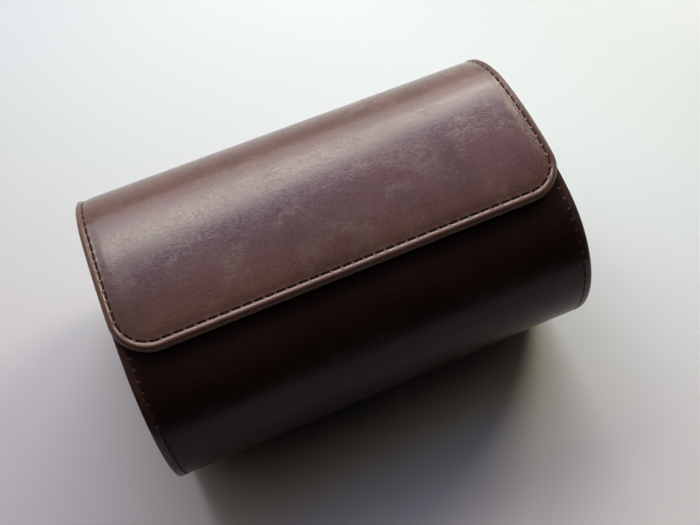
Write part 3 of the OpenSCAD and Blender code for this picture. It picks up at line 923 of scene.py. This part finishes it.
def hinge_fold():
    """The strip of leather that bends between the tube and the flap, shaped to meet both covers."""
    skin = Skin()
    steps = 14
    middle_x = np.linspace(-HALF_LENGTH + FIELD_EDGE, HALF_LENGTH - FIELD_EDGE, 60)[1:-1]
    below = float(rim_angle(HINGE_END)) - 2 * math.pi
    above = float(angle_at(HINGE_END, THREAD_SINK))
    low_y, low_z = oval_point(below, 0.0)
    high_y, high_z = oval_point(above, 0.0)
    rise = high_z + FLAP_LIFT - low_z
    for step in range(steps + 1):
        share = step / steps
        blend = float(smooth_step(share))
        angle = below + (above - below) * share
        z = MID_Z + low_z + rise * share
        y = {0: low_y, steps: high_y}.get(step, HALF_DEPTH)
        xs, heights = [], []
        for (tube_in, tube_h), (flap_in, flap_h) in zip(tube_edge_profile(), flap_edge_profile()):
            tube_at = tube_skin_height(HINGE_END, tube_in) if tube_h is None else tube_h
            flap_at = flap_skin_height(HINGE_END, flap_in) if flap_h is None else flap_h
            inset = tube_in + (float(squeezed(flap_in, SIDE_SQUEEZE)) - tube_in) * blend
            xs.append(inset - HALF_LENGTH)
            heights.append(tube_at + (float(flap_at) - tube_at) * blend)
        xs, heights = np.array(xs), np.array(heights)
        cuts = edge_paint(heights)
        all_x = np.concatenate([xs, middle_x, -xs[::-1]])
        all_h = np.concatenate([heights, np.full(len(middle_x), PAD * blend), heights[::-1]])
        cuts = np.concatenate([cuts, 0 * middle_x, cuts[::-1]])
        skin.row(points_at(all_x, y + all_h * math.cos(angle), z + all_h * math.sin(angle)), paint=cuts)
    skin.join_rows(0, steps + 1, len(all_x))
    bends(skin.piece("hinge_fold", "case_leather", None, "hinge_leather"))


def lining_fold():
    """Suede inside the hinge."""
    skin = Skin()
    xs = np.linspace(-END_BOARD_X, END_BOARD_X, 60)
    levels = np.linspace(-0.4, FLAP_LIFT + 0.4, 13)
    for level in levels:
        sag = -0.15 * bump_shape(level - FLAP_LIFT / 2, FLAP_LIFT) * (1 + 0.4 * np.sin(xs))
        skin.row(points_at(xs, HALF_DEPTH - FLAP_THICKNESS + sag, MID_Z + level))
    skin.join_rows(0, len(levels), len(xs))
    shell = {"thick": FOLDING_THICKNESS, "facing": -1}
    bends(skin.piece("hinge_suede", "suede", None, "hinge_lining", with_masks=False, **shell))


def lip_binding():
    """Leather turned over the edge of the lip, from the outer face round to the inner one."""
    start = float(length_at(angle_of_y(-LIP_FORWARD - LIP_BINDING)))
    nose = 1.5
    nose_at = float(length_at(angle_of_y(-LIP_FORWARD))) + nose
    turns = np.radians(np.arange(0, 91, 15))
    section = [(start + 0.02, -0.5), (start + 0.05, -0.12), (start - 0.25, 0.0)]
    section += [(nose_at - nose * math.sin(a), -nose + nose * math.cos(a)) for a in turns]
    section += [(nose_at - nose * math.cos(a), nose - WALL - nose * math.sin(a)) for a in turns[1:]]
    section += [(start - 0.25, -WALL), (start, -WALL + 0.15), (start, -WALL + 0.6)]
    end_xs = [HALF_LENGTH - 0.1, HALF_LENGTH - 0.02]
    xs = np.linspace(-HALF_LENGTH + 0.5, HALF_LENGTH - 0.5, 140)
    xs = np.concatenate([[-x for x in reversed(end_xs)], xs, end_xs])
    tuck = 0.245 * np.clip((np.abs(xs) - HALF_LENGTH + 0.5) / 0.5, 0, 1) ** 2
    on_lining = np.where(np.abs(xs) > END_LINING_X, LINING_THICKNESS - WALL, -WALL)
    inner_limit = np.where(np.abs(xs) > END_BOARD_X, -WRAP_LEATHER, on_lining)
    skin = Skin()
    for length, off in section:
        offs = (np.maximum(off, inner_limit) if off < -WRAP_LEATHER else off) - tuck
        angle = angle_at(length)
        wavy = 0.06 * unevenness(on_tube(xs, angle, offs), 6, 12) * (off > -1.0)
        # the binding's outer face is paled by wear and a painted highlight
        skin.row(on_tube(xs, angle, offs + wavy), crest=0.3 * (off > -0.4))
    rows, columns = len(section), len(xs)
    skin.join_rows(0, rows, columns)
    skin.faces.append(tuple(i * columns for i in range(rows)))
    skin.faces.append(tuple((i + 1) * columns - 1 for i in reversed(range(rows))))
    last = (rows - 1) * columns
    skin.faces += [(i, i + 1, last + i + 1, last + i) for i in range(columns - 1)]
    return skin.piece("lip_edge", "case_leather", "case", "lip_binding", thick=0)


# ---------------------------------------------------------------- ends

LINING_THICKNESS = 0.8
END_RECESS_X = HALF_LENGTH - 5.0
RIM_FACE_X = HALF_LENGTH - 0.4
END_SKIN_X = END_RECESS_X - 1.2
END_BOARD_X = END_SKIN_X - 2.5
END_LINING_X = END_BOARD_X - LINING_THICKNESS
RIM_BEVEL = 1.1
RIM_OFF_TABLE = 0.15
END_RINGS = 26
PANEL_PUFF = 0.7
LINING_PUFF = -0.25


def mouth_line(drop=0.0):
    """Top of an end wall in Y and Z, from the hinge over the open mouth to the lip."""
    first = math.asin(-FLAP_LIFT / (SIDE_RADIUS - FLAP_LIFT - drop)) + 0.003
    over = np.linspace(1.0, float(angle_of_y(-LIP_FORWARD)), 70)[1:]
    return oval_line(np.concatenate([np.linspace(first, 1.0, 40), over]), -FLAP_LIFT - drop, FLAP_LIFT)


def wall_line():
    """The rest of an end wall's outline, from the lip round the base to the hinge."""
    start = float(angle_of_y(-LIP_FORWARD - 0.05, -WRAP_LEATHER))
    line = oval_line(np.linspace(start, 2 * math.pi, 240), -WRAP_LEATHER)
    line[:, 1] = np.maximum(line[:, 1], RIM_OFF_TABLE)
    return line


def inside_oval(point, off):
    """True for a point, measured from the oval's middle, inside the oval moved out by off."""
    y, z = abs(point[0]), abs(point[1])
    if math.atan2(z + CROWN_RADIUS - HALF_HEIGHT, y) > BLEND:
        return math.hypot(y, z + CROWN_RADIUS - HALF_HEIGHT) < CROWN_RADIUS + off
    return math.hypot(y - SIDE_Y, z) < SIDE_RADIUS + off


def wall_inside(angle):
    """The tube's inner face in Y and Z, in a direction from the oval's middle."""
    direction = np.array([math.cos(angle), math.sin(angle)])
    low, high = 0.0, 60.0
    for _ in range(24):
        mid = (low + high) / 2
        low, high = (mid, high) if inside_oval(direction * mid, -WALL) else (low, mid)
    return direction * low + np.array([0, MID_Z])


def end_rim(side, name):
    """Rounded hoop of leather standing round a recessed end."""
    skin = Skin()
    outline = np.concatenate([mouth_line(), wall_line()])
    columns = len(outline)
    inner = np.array([wall_inside(a) for a in np.arctan2(outline[:, 1] - MID_Z, outline[:, 0])])
    width = np.linalg.norm(outline - inner, axis=1)
    across = (outline - inner) / width[:, None]
    bevel = np.minimum(RIM_BEVEL, 0.48 * width)

    def lay(line, x, crest=0.0):
        skin.row(points_at(side * x, *line.T), crest=crest)

    lay(inner, END_RECESS_X - 0.3)
    lay(inner, END_RECESS_X + 0.8)
    turns = np.radians(np.arange(0, 91, 15))
    for line, inwards, order in ((inner, across, turns), (outline, -across, turns[::-1])):
        for a in order:
            rounded = line + inwards * (bevel * (1 - math.cos(a)))[:, None]
            # the rim's rounded top is paled by wear and a painted highlight
            lay(rounded, RIM_FACE_X - bevel + bevel * math.sin(a), 0.35 * math.sin(a))
    lay(outline, END_RECESS_X - 0.3)
    skin.faces = closed_ring(len(skin.points), columns)
    return skin.piece(f"{name}_rim", "case_leather", "case", f"{name}_end_rim", thick=0)


def end_face(side, name, slot, x, outline, puff, replaces):
    """A skin over an end wall, softly padded by puff outwards: from its edge in to the middle."""
    skin = Skin()
    middle = np.array([0.0, MID_Z])
    columns = len(outline)
    for ring in range(END_RINGS):
        share = 1 - ring / END_RINGS
        inset = 1 - share
        flat = middle + (outline - middle) * share
        base = points_at(side * x, *flat.T)
        swell = puff * smooth_step(inset / 0.35) - 0.35 * abs(puff) * bump_shape(inset, 0.06)
        base[:, 0] = side * (x + swell + 0.1 * unevenness(base, 13, 21) * smooth_step(inset / 0.15))
        skin.row(base)
    centre = skin.row(np.array([[side * (x + puff), 0.0, MID_Z]]))
    skin.faces += grid_faces(END_RINGS, columns, close_columns=True)
    last = (END_RINGS - 1) * columns
    skin.faces += [(last + j, last + (j + 1) % columns, centre) for j in range(columns)]
    shell = {"thick": GLUED_THICKNESS, "facing_x": side if puff > 0 else -side}
    return skin.piece(name, slot, "case", replaces, with_masks=slot == "case_leather", **shell)


def panel_outline():
    """Outline of the recessed leather face of an end."""
    return oval_line(np.linspace(0, 2 * math.pi, 220, endpoint=False), -WALL + 0.05)


def lining_outline():
    """Inside face of an end wall: the lining's oval, with the mouth's edge across the top."""
    angles = np.linspace(float(angle_of_y(-LIP_FORWARD)), 2 * math.pi - 0.02, 200)
    return np.concatenate([mouth_line(1.0), oval_line(angles, -WALL + 0.1)])


def mouth_edge(side, name):
    """Leather turned over the top of an end wall, where the mouth is open."""
    skin = Skin()
    top = mouth_line()
    turned_x = END_LINING_X + 0.7
    places = [(top, END_RECESS_X), (top, END_RECESS_X - 2.5), (top, turned_x)]
    places += [(mouth_line(0.12), END_LINING_X + 0.25), (mouth_line(0.45), END_LINING_X - 0.05)]
    places += [(mouth_line(1.1), END_LINING_X - 0.08), (mouth_line(1.1), turned_x)]
    for line, x in places:
        skin.row(points_at(side * x, *line.T))
    skin.join_rows(0, len(places), len(top))
    return skin.piece(f"{name}_mouth_edge", "case_leather", "case", f"{name}_mouth_binding", thick=0.25)


# ---------------------------------------------------------------- inside

DIVIDER_HALF = 2.1
DIVIDER_RISE = 20.0


def tube_lining():
    """Suede glued round the inside of the tube, from the lip down and up to the hinge."""
    skin = Skin()
    angles = np.linspace(float(angle_of_y(-LIP_FORWARD - LIP_BINDING, -WALL)), 2 * math.pi, 150)
    xs = np.linspace(-END_LINING_X - 0.1, END_LINING_X + 0.1, 110)
    for angle in angles:
        base = on_tube(xs, angle, -WALL)
        wavy = 0.12 * unevenness(base, 16, 31) + 0.05 * unevenness(base, 5, 32)
        skin.row(on_tube(xs, angle, -WALL + 0.05 + np.maximum(wavy, -0.1)))
    skin.join_rows(0, len(angles), len(xs))
    shell = {"thick": GLUED_THICKNESS, "facing": -1}
    return skin.piece("tube_suede", "suede", "case", "wrap_lining", with_masks=False, **shell)


def divider():
    """Suede-covered wall between the two places, its top edge rounded."""
    skin = Skin()
    ends = np.array([45.2, 45.6, 45.75])
    ys = np.concatenate([-ends[::-1], np.linspace(-44.5, 44.5, 90), ends])
    arc = np.radians(np.arange(15, 166, 15))
    cheek = DIVIDER_HALF + 0.12 * np.sin(np.linspace(0, math.pi, 26))
    xs = np.concatenate([cheek, DIVIDER_HALF * np.cos(arc), -cheek[::-1]])
    for y in ys:
        rise = float(oval_point(angle_of_y(y, -WALL), -WALL)[1])
        low, high = MID_Z - rise, MID_Z + min(rise, DIVIDER_RISE)
        cap = min(DIVIDER_HALF, max(high - low, 0.2) / 2)
        zs = np.linspace(low, high - cap, len(cheek))
        base = points_at(xs, y, np.concatenate([zs, high - cap + cap * np.sin(arc), zs[::-1]]))
        base[:, 0] += np.sign(xs) * 0.08 * unevenness(base, 9, 41)
        skin.row(base)
    skin.faces = capped_tube(len(ys), len(xs))
    return skin.piece("divider_suede", "suede", "case", "divider_cover", with_masks=False, thick=0)


# ---------------------------------------------------------------- press studs

def turned(name, side, lift, profile, body, replaces):
    """A turned metal part on a press stud's axis, from its radii and heights over the leather."""
    sides = 48
    centre = on_tube(side * STUD_X, STUD_ANGLE, 0.0, lift)
    up = outward_at(STUD_ANGLE)
    across = np.array([1.0, 0.0, 0.0])
    along = np.cross(up, across)
    points = []
    for radius, height in profile:
        for a in 2 * math.pi * np.arange(sides) / sides:
            points.append(centre + up * height + radius * (math.cos(a) * across + math.sin(a) * along))
    closing = closed_ring if profile[0] == profile[-1] else capped_tube
    return add_piece(name, points, closing(len(profile), sides), "snap_metal", body, (replaces,))


def rolled(radius, height, wide, high, first, last):
    """Radii and heights of points round a rolled edge, from one angle to another by 20 degrees."""
    way = 1 if last > first else -1
    turns = np.radians(np.arange(first, last + way, 20 * way))
    return [(radius + wide * math.cos(a), height + high * math.sin(a)) for a in turns]


def stud_profile():
    """A stud: flange with a rolled rim, a neck and a rounded head."""
    neck = [(3.6, -0.42), (2.4, -0.4), (1.75, -0.3), (1.42, -0.12), (1.36, 0.1), (1.4, 0.28), (1.62, 0.42)]
    rim = rolled(4.2, -0.36, 0.25, 0.2, -60, 180)
    return [(2.0, -0.55), *rim, *neck, *rolled(1.3, 0.62, 0.48, 0.4, -10, 90), (0.7, 1.07), (0.2, 1.09)]


def socket_profile():
    """A socket: a ring with rolled inner and outer edges."""
    outer = rolled(4.1, -2.3, 0.38, 0.32, 60, -120)
    inner = rolled(3.15, -2.38, 0.25, 0.24, -60, -240)
    return [(4.2, -1.8), *outer, (3.6, -2.46), *inner, (3.1, -1.8), (4.2, -1.8)]


# ---------------------------------------------------------------- watch cushions

CUSHION_HALF = 27.5
CUSHION_END_X = CUSHION_HALF - 1.9
CUSHION_SEAM_X = CUSHION_HALF - 1.7
CUSHION_BODY_X = CUSHION_HALF - 1.5
CUSHION_RADIUS = 20.0
CUSHION_FLAT = 8.0
CUSHION_X = (DIVIDER_HALF + END_LINING_X) / 2
CUSHION_GAP = 0.3
FLOOR_DROP = math.sqrt((CROWN_RADIUS - WALL) ** 2 - CUSHION_FLAT ** 2) - CROWN_RADIUS + HALF_HEIGHT
CUSHION_Z = MID_Z - FLOOR_DROP + CUSHION_GAP + CUSHION_RADIUS
CUSHION_AROUND = 96
SWELL_LIMIT = 1.25
SWELL_STEPS = 20
SIM_SCALE = 10


def cushion_outline(inset):
    """The cushion's rounded outline in Y and Z, drawn in by an inset."""
    r = CUSHION_RADIUS - inset
    arc = math.pi * r
    half = arc + 2 * CUSHION_FLAT
    s = np.arange(CUSHION_AROUND) / CUSHION_AROUND * 2 * half
    sign = np.where(s < half, 1.0, -1.0)
    s = np.where(s < half, s, s - half)
    turn = np.minimum(s, arc) / r - math.pi / 2
    y = CUSHION_FLAT + r * np.cos(turn) - np.maximum(s - arc, 0.0)
    return np.stack([sign * y, sign * r * np.sin(turn)], axis=-1)


def cushion_form():
    """Rows of the cushion's cover before it is filled: a place in X, an outline, and whether it is sewn."""
    rings = 12
    shares = [0.04 + 0.96 * i / rings for i in range(rings)]
    half = [(-CUSHION_END_X, cushion_outline(1.6) * share, share == shares[-1]) for share in shares]
    half.append((-CUSHION_SEAM_X, cushion_outline(1.45), True))
    around = np.linspace(-CUSHION_BODY_X, CUSHION_BODY_X, 30)
    mirrored = [(-x, outline, sewn) for x, outline, sewn in reversed(half)]
    return half + [(x, cushion_outline(1.3), False) for x in around] + mirrored


def inflated(mesh, sewn):
    """The mesh's points after a short cloth simulation that swells it between its sewn points."""
    scene = bpy.context.scene
    form = bpy.data.objects.new("cushion_form", mesh)
    scene.collection.objects.link(form)
    held = form.vertex_groups.new(name="seams")
    for index in np.nonzero(sewn)[0]:
        held.add([int(index)], 1.0, "REPLACE")
    cloth = form.modifiers.new("cloth", "CLOTH").settings
    cloth.vertex_group_mass = "seams"
    cloth.use_pressure = True
    cloth.uniform_pressure_force = 4.0
    cloth.quality = 6
    cloth.effector_weights.gravity = 0.0
    for step in range(1, SWELL_STEPS + 1):
        scene.frame_set(step)
    evaluated = form.evaluated_get(bpy.context.evaluated_depsgraph_get())
    result = evaluated.to_mesh()
    moved = np.empty(len(result.vertices) * 3)
    result.vertices.foreach_get("co", moved)
    evaluated.to_mesh_clear()
    bpy.data.objects.remove(form)
    scene.frame_set(1)
    return moved.reshape(-1, 3)


def filled_cushion():
    """Points and faces of the cushion's cover, swelled between its seams, and which points are sewn.

    The simulation runs at ten times the size, and its travel is scaled so that no point goes too far.
    """
    rows = cushion_form()
    flat = np.concatenate([points_at(x, *outline.T) for x, outline, _ in rows])
    sewn = np.repeat([row[2] for row in rows], CUSHION_AROUND)
    faces = capped_tube(len(rows), CUSHION_AROUND)
    mesh = bpy.data.meshes.new("cushion_form")
    mesh.from_pydata((flat * MM * SIM_SCALE).tolist(), [], faces)
    work = bmesh.new()
    work.from_mesh(mesh)
    bmesh.ops.recalc_face_normals(work, faces=work.faces)
    work.to_mesh(mesh)
    work.free()
    travel = inflated(mesh, sewn) / MM / SIM_SCALE - flat
    most = np.linalg.norm(travel, axis=1).max()
    return flat + travel * (SWELL_LIMIT / max(most, SWELL_LIMIT)), faces, sewn


def cushion(side, name, form):
    """One watch cushion: filled suede cover, puckered along the seams to its two ends."""
    points, faces, sewn = form
    place = np.array([side * CUSHION_X, 0.0, CUSHION_Z])
    t = np.tile(np.arange(CUSHION_AROUND), len(points) // CUSHION_AROUND) / CUSHION_AROUND
    radial = points * np.array([0, 1, 1])
    radial = radial / np.maximum(np.linalg.norm(radial, axis=1), 1e-6)[:, None]
    near_seam = smooth_step(1 - np.abs(np.abs(points[:, 0]) - CUSHION_SEAM_X) / 7.0)
    pucker = 0.12 * np.sin(t * 2 * math.pi * 44 + 1.5 * np.sin(t * 37)) * near_seam * ~sewn
    soft = 0.25 * unevenness(points + place, 15, 51 + side)
    points = points + radial * (pucker + soft)[:, None] + place
    replaces = [f"{name}_cushion_{part}" for part in ("foam", "sleeve", "discs")]
    piece = add_piece(f"{name}_cushion", points, faces, "cushion_suede", f"cushion_{name}", replaces)
    smooth = piece.modifiers.new("smooth", "SUBSURF")
    smooth.levels = smooth.render_levels = 1


# ---------------------------------------------------------------- camera, floor and light

CAMERA_YAW = math.radians(21.67)
CAMERA_DOWN = math.radians(66.09)
CAMERA_ROLL = math.radians(-1.64)
CAMERA_DISTANCE = 289.8
CAMERA_RIGHT = 6.42
CAMERA_UP = -0.93
CAMERA_LENS = 41.64

FLOOR_HALF = 6.0
PALE = (0.7, 0.72, 0.715)
ROOM_FRONT = (0.003, 0.003, 0.003)
ROOM_BACK = (0.584, 0.541, 0.454)

# the window is three lamps in one plane, and every lamp has a place, an azimuth that it shines away
# from, a tilt down, a size and a radiance
WINDOW_FACING = -15.8
WINDOW_TILT = 0
WINDOW_SIZE = (0.782, 0.221)
WINDOW_ROLL = 9.1
WINDOW_PARTS = (
    ("window", (0.160, 0.568, 0.516), (8.57, 8.9, 7.85)),
    ("window_low", (0.127, 0.558, 0.297), (2.61, 2.43, 2.54)),
    ("window_top", (0.194, 0.577, 0.734), (0.02, 0.05, 0.9)),
)
SKY = ((0.120, 0.564, 0.751), 12, 50.2, (1.1, 0.783), (0.03, 0.17, 0.67))
SIDE_WINDOW = ((0.574, 0.376, 0.451), 56.8, 30.9, (0.292, 0.204), (13.7, 13.0, 9.94))


def make_camera():
    """A camera at the height and angle of someone looking down at the case on a table."""
    forward = Vector((
        math.sin(CAMERA_YAW) * math.cos(CAMERA_DOWN),
        math.cos(CAMERA_YAW) * math.cos(CAMERA_DOWN),
        -math.sin(CAMERA_DOWN),
    ))
    level = Vector((math.cos(CAMERA_YAW), -math.sin(CAMERA_YAW), 0))
    right = math.cos(CAMERA_ROLL) * level + math.sin(CAMERA_ROLL) * level.cross(forward)
    up = right.cross(forward)
    place = Vector((0, 0, MID_Z)) - CAMERA_DISTANCE * forward + CAMERA_RIGHT * right + CAMERA_UP * up
    data = bpy.data.cameras.new("camera")
    data.lens = CAMERA_LENS
    data.sensor_width = 36.0
    data.clip_start = 0.01
    camera = bpy.data.objects.new("camera", data)
    axes = Matrix((right, up, -forward)).transposed().to_4x4()
    camera.matrix_world = Matrix.Translation(place * MM) @ axes
    bpy.context.scene.collection.objects.link(camera)
    bpy.context.scene.camera = camera


def floor_material():
    """A pale table top, warmer in front. Far from the case it is shown as pale as the room's wall."""
    n = surface("table_top")
    near = n.add("ShaderNodeSeparateXYZ", {0: n.place}).outputs
    color = n.mix(n.noise(60, 2, 0.5), (0.80, 0.84, 0.825), (0.815, 0.855, 0.84))
    warm = n.level(n.plus(n.times(near["X"], 0.7), near["Y"]), 0.12, -0.12)
    color = n.mix(warm, color, (0.86, 0.785, 0.785))
    aside = n.plus(near["X"], n.times(near["Y"], 0.6))
    color = n.mix(n.level(aside, 0.12, 0.24), color, (0.69, 0.72, 0.71))
    material = n.finish(color, 0.45, Specular_IOR_Level=0.3)
    away = n.add("ShaderNodeVectorMath", {0: n.place}, operation="LENGTH").outputs["Value"]
    ray = n.add("ShaderNodeLightPath").outputs
    seen = n.most(n.most(ray["Is Camera Ray"], ray["Is Glossy Ray"]), ray["Is Transmission Ray"])
    far = n.times(n.level(away, 0.24, 0.48), seen)
    pale = n.add("ShaderNodeEmission", {"Color": PALE}).outputs[0]
    both = n.add("ShaderNodeMixShader", {"Fac": far, 1: n.shader.outputs[0], 2: pale})
    n.feed(n.tree.nodes["Material Output"], {"Surface": both.outputs[0]})
    return material


def make_floor():
    """The table top that the case stands on."""
    mesh = bpy.data.meshes.new("floor")
    corners = [(x * FLOOR_HALF, y * FLOOR_HALF, 0) for x, y in ((-1, -1), (1, -1), (1, 1), (-1, 1))]
    mesh.from_pydata(corners, [], [(0, 1, 2, 3)])
    mesh.materials.append(floor_material())
    floor = bpy.data.objects.new("floor", mesh)
    bpy.context.scene.collection.objects.link(floor)


def area_light(name, place, facing, tilt, size, bright, roll=0.0):
    """A soft rectangular lamp of the given radiance in red, green and blue.

    It shines away from azimuth facing, turned from +Y towards +X, and down by tilt. Roll drops its +X end.
    """
    data = bpy.data.lights.new(name, "AREA")
    data.shape = "RECTANGLE"
    data.size, data.size_y = size
    strongest = max(bright)
    data.energy = math.pi * size[0] * size[1] * strongest
    data.color = tuple(part / strongest for part in bright)
    lamp = bpy.data.objects.new(name, data)
    a, down = math.radians(facing), math.radians(tilt)
    aim = -Vector((math.sin(a) * math.cos(down), math.cos(a) * math.cos(down), math.sin(down)))
    lamp.location = place
    turn = aim.to_track_quat("-Z", "Y") @ Quaternion((0, 0, 1), math.radians(roll))
    lamp.rotation_euler = turn.to_euler()
    bpy.context.scene.collection.objects.link(lamp)


def make_world():
    """A dim room, lighter on the window's side, with a pale wall low down and where the camera looks."""
    world = bpy.data.worlds.new("room")
    n = Nodes(world, "Background", "Generated")
    split = n.add("ShaderNodeSeparateXYZ", {0: n.place}).outputs
    room = n.mix(n.level(split["Y"], -0.3, 0.9), ROOM_FRONT, ROOM_BACK)
    low = n.level(split["Z"], 0.04, 0.0, kind="LINEAR")
    ray = n.add("ShaderNodeLightPath").outputs
    band = n.times(n.most(ray["Is Glossy Ray"], ray["Is Transmission Ray"]), low)
    seen = n.most(band, ray["Is Camera Ray"])
    n.feed(n.shader, {"Color": n.mix(seen, room, PALE)})
    bpy.context.scene.world = world


# ---------------------------------------------------------------- the case and its surroundings

flap_cover()
flap_lining()
tube_cover()
hinge_fold()
lining_fold()
flap_thread()
tube_thread()
lip_binding()
for side, name in SIDES:
    end_rim(side, name)
    end_face(side, f"{name}_end_panel", "case_leather", END_RECESS_X, panel_outline(), PANEL_PUFF,
             f"{name}_end_skin")
    end_face(side, f"{name}_end_suede", "suede", END_LINING_X, lining_outline(), LINING_PUFF,
             f"{name}_end_lining")
    mouth_edge(side, name)
tube_lining()
divider()
for side, name in SIDES:
    turned(f"{name}_press_stud", side, 0.0, stud_profile(), "case", f"{name}_stud")
    turned(f"{name}_press_socket", side, FLAP_LIFT, socket_profile(), "flap", f"{name}_socket")
cushion_cover = filled_cushion()
for side, name in SIDES:
    cushion(side, name, cushion_cover)

make_camera()
make_floor()
for name, place, bright in WINDOW_PARTS:
    area_light(name, place, WINDOW_FACING, WINDOW_TILT, WINDOW_SIZE, bright, WINDOW_ROLL)
area_light("sky_above", *SKY)
area_light("side_window", *SIDE_WINDOW)
make_world()
bpy.context.scene.view_settings.view_transform = "Standard"
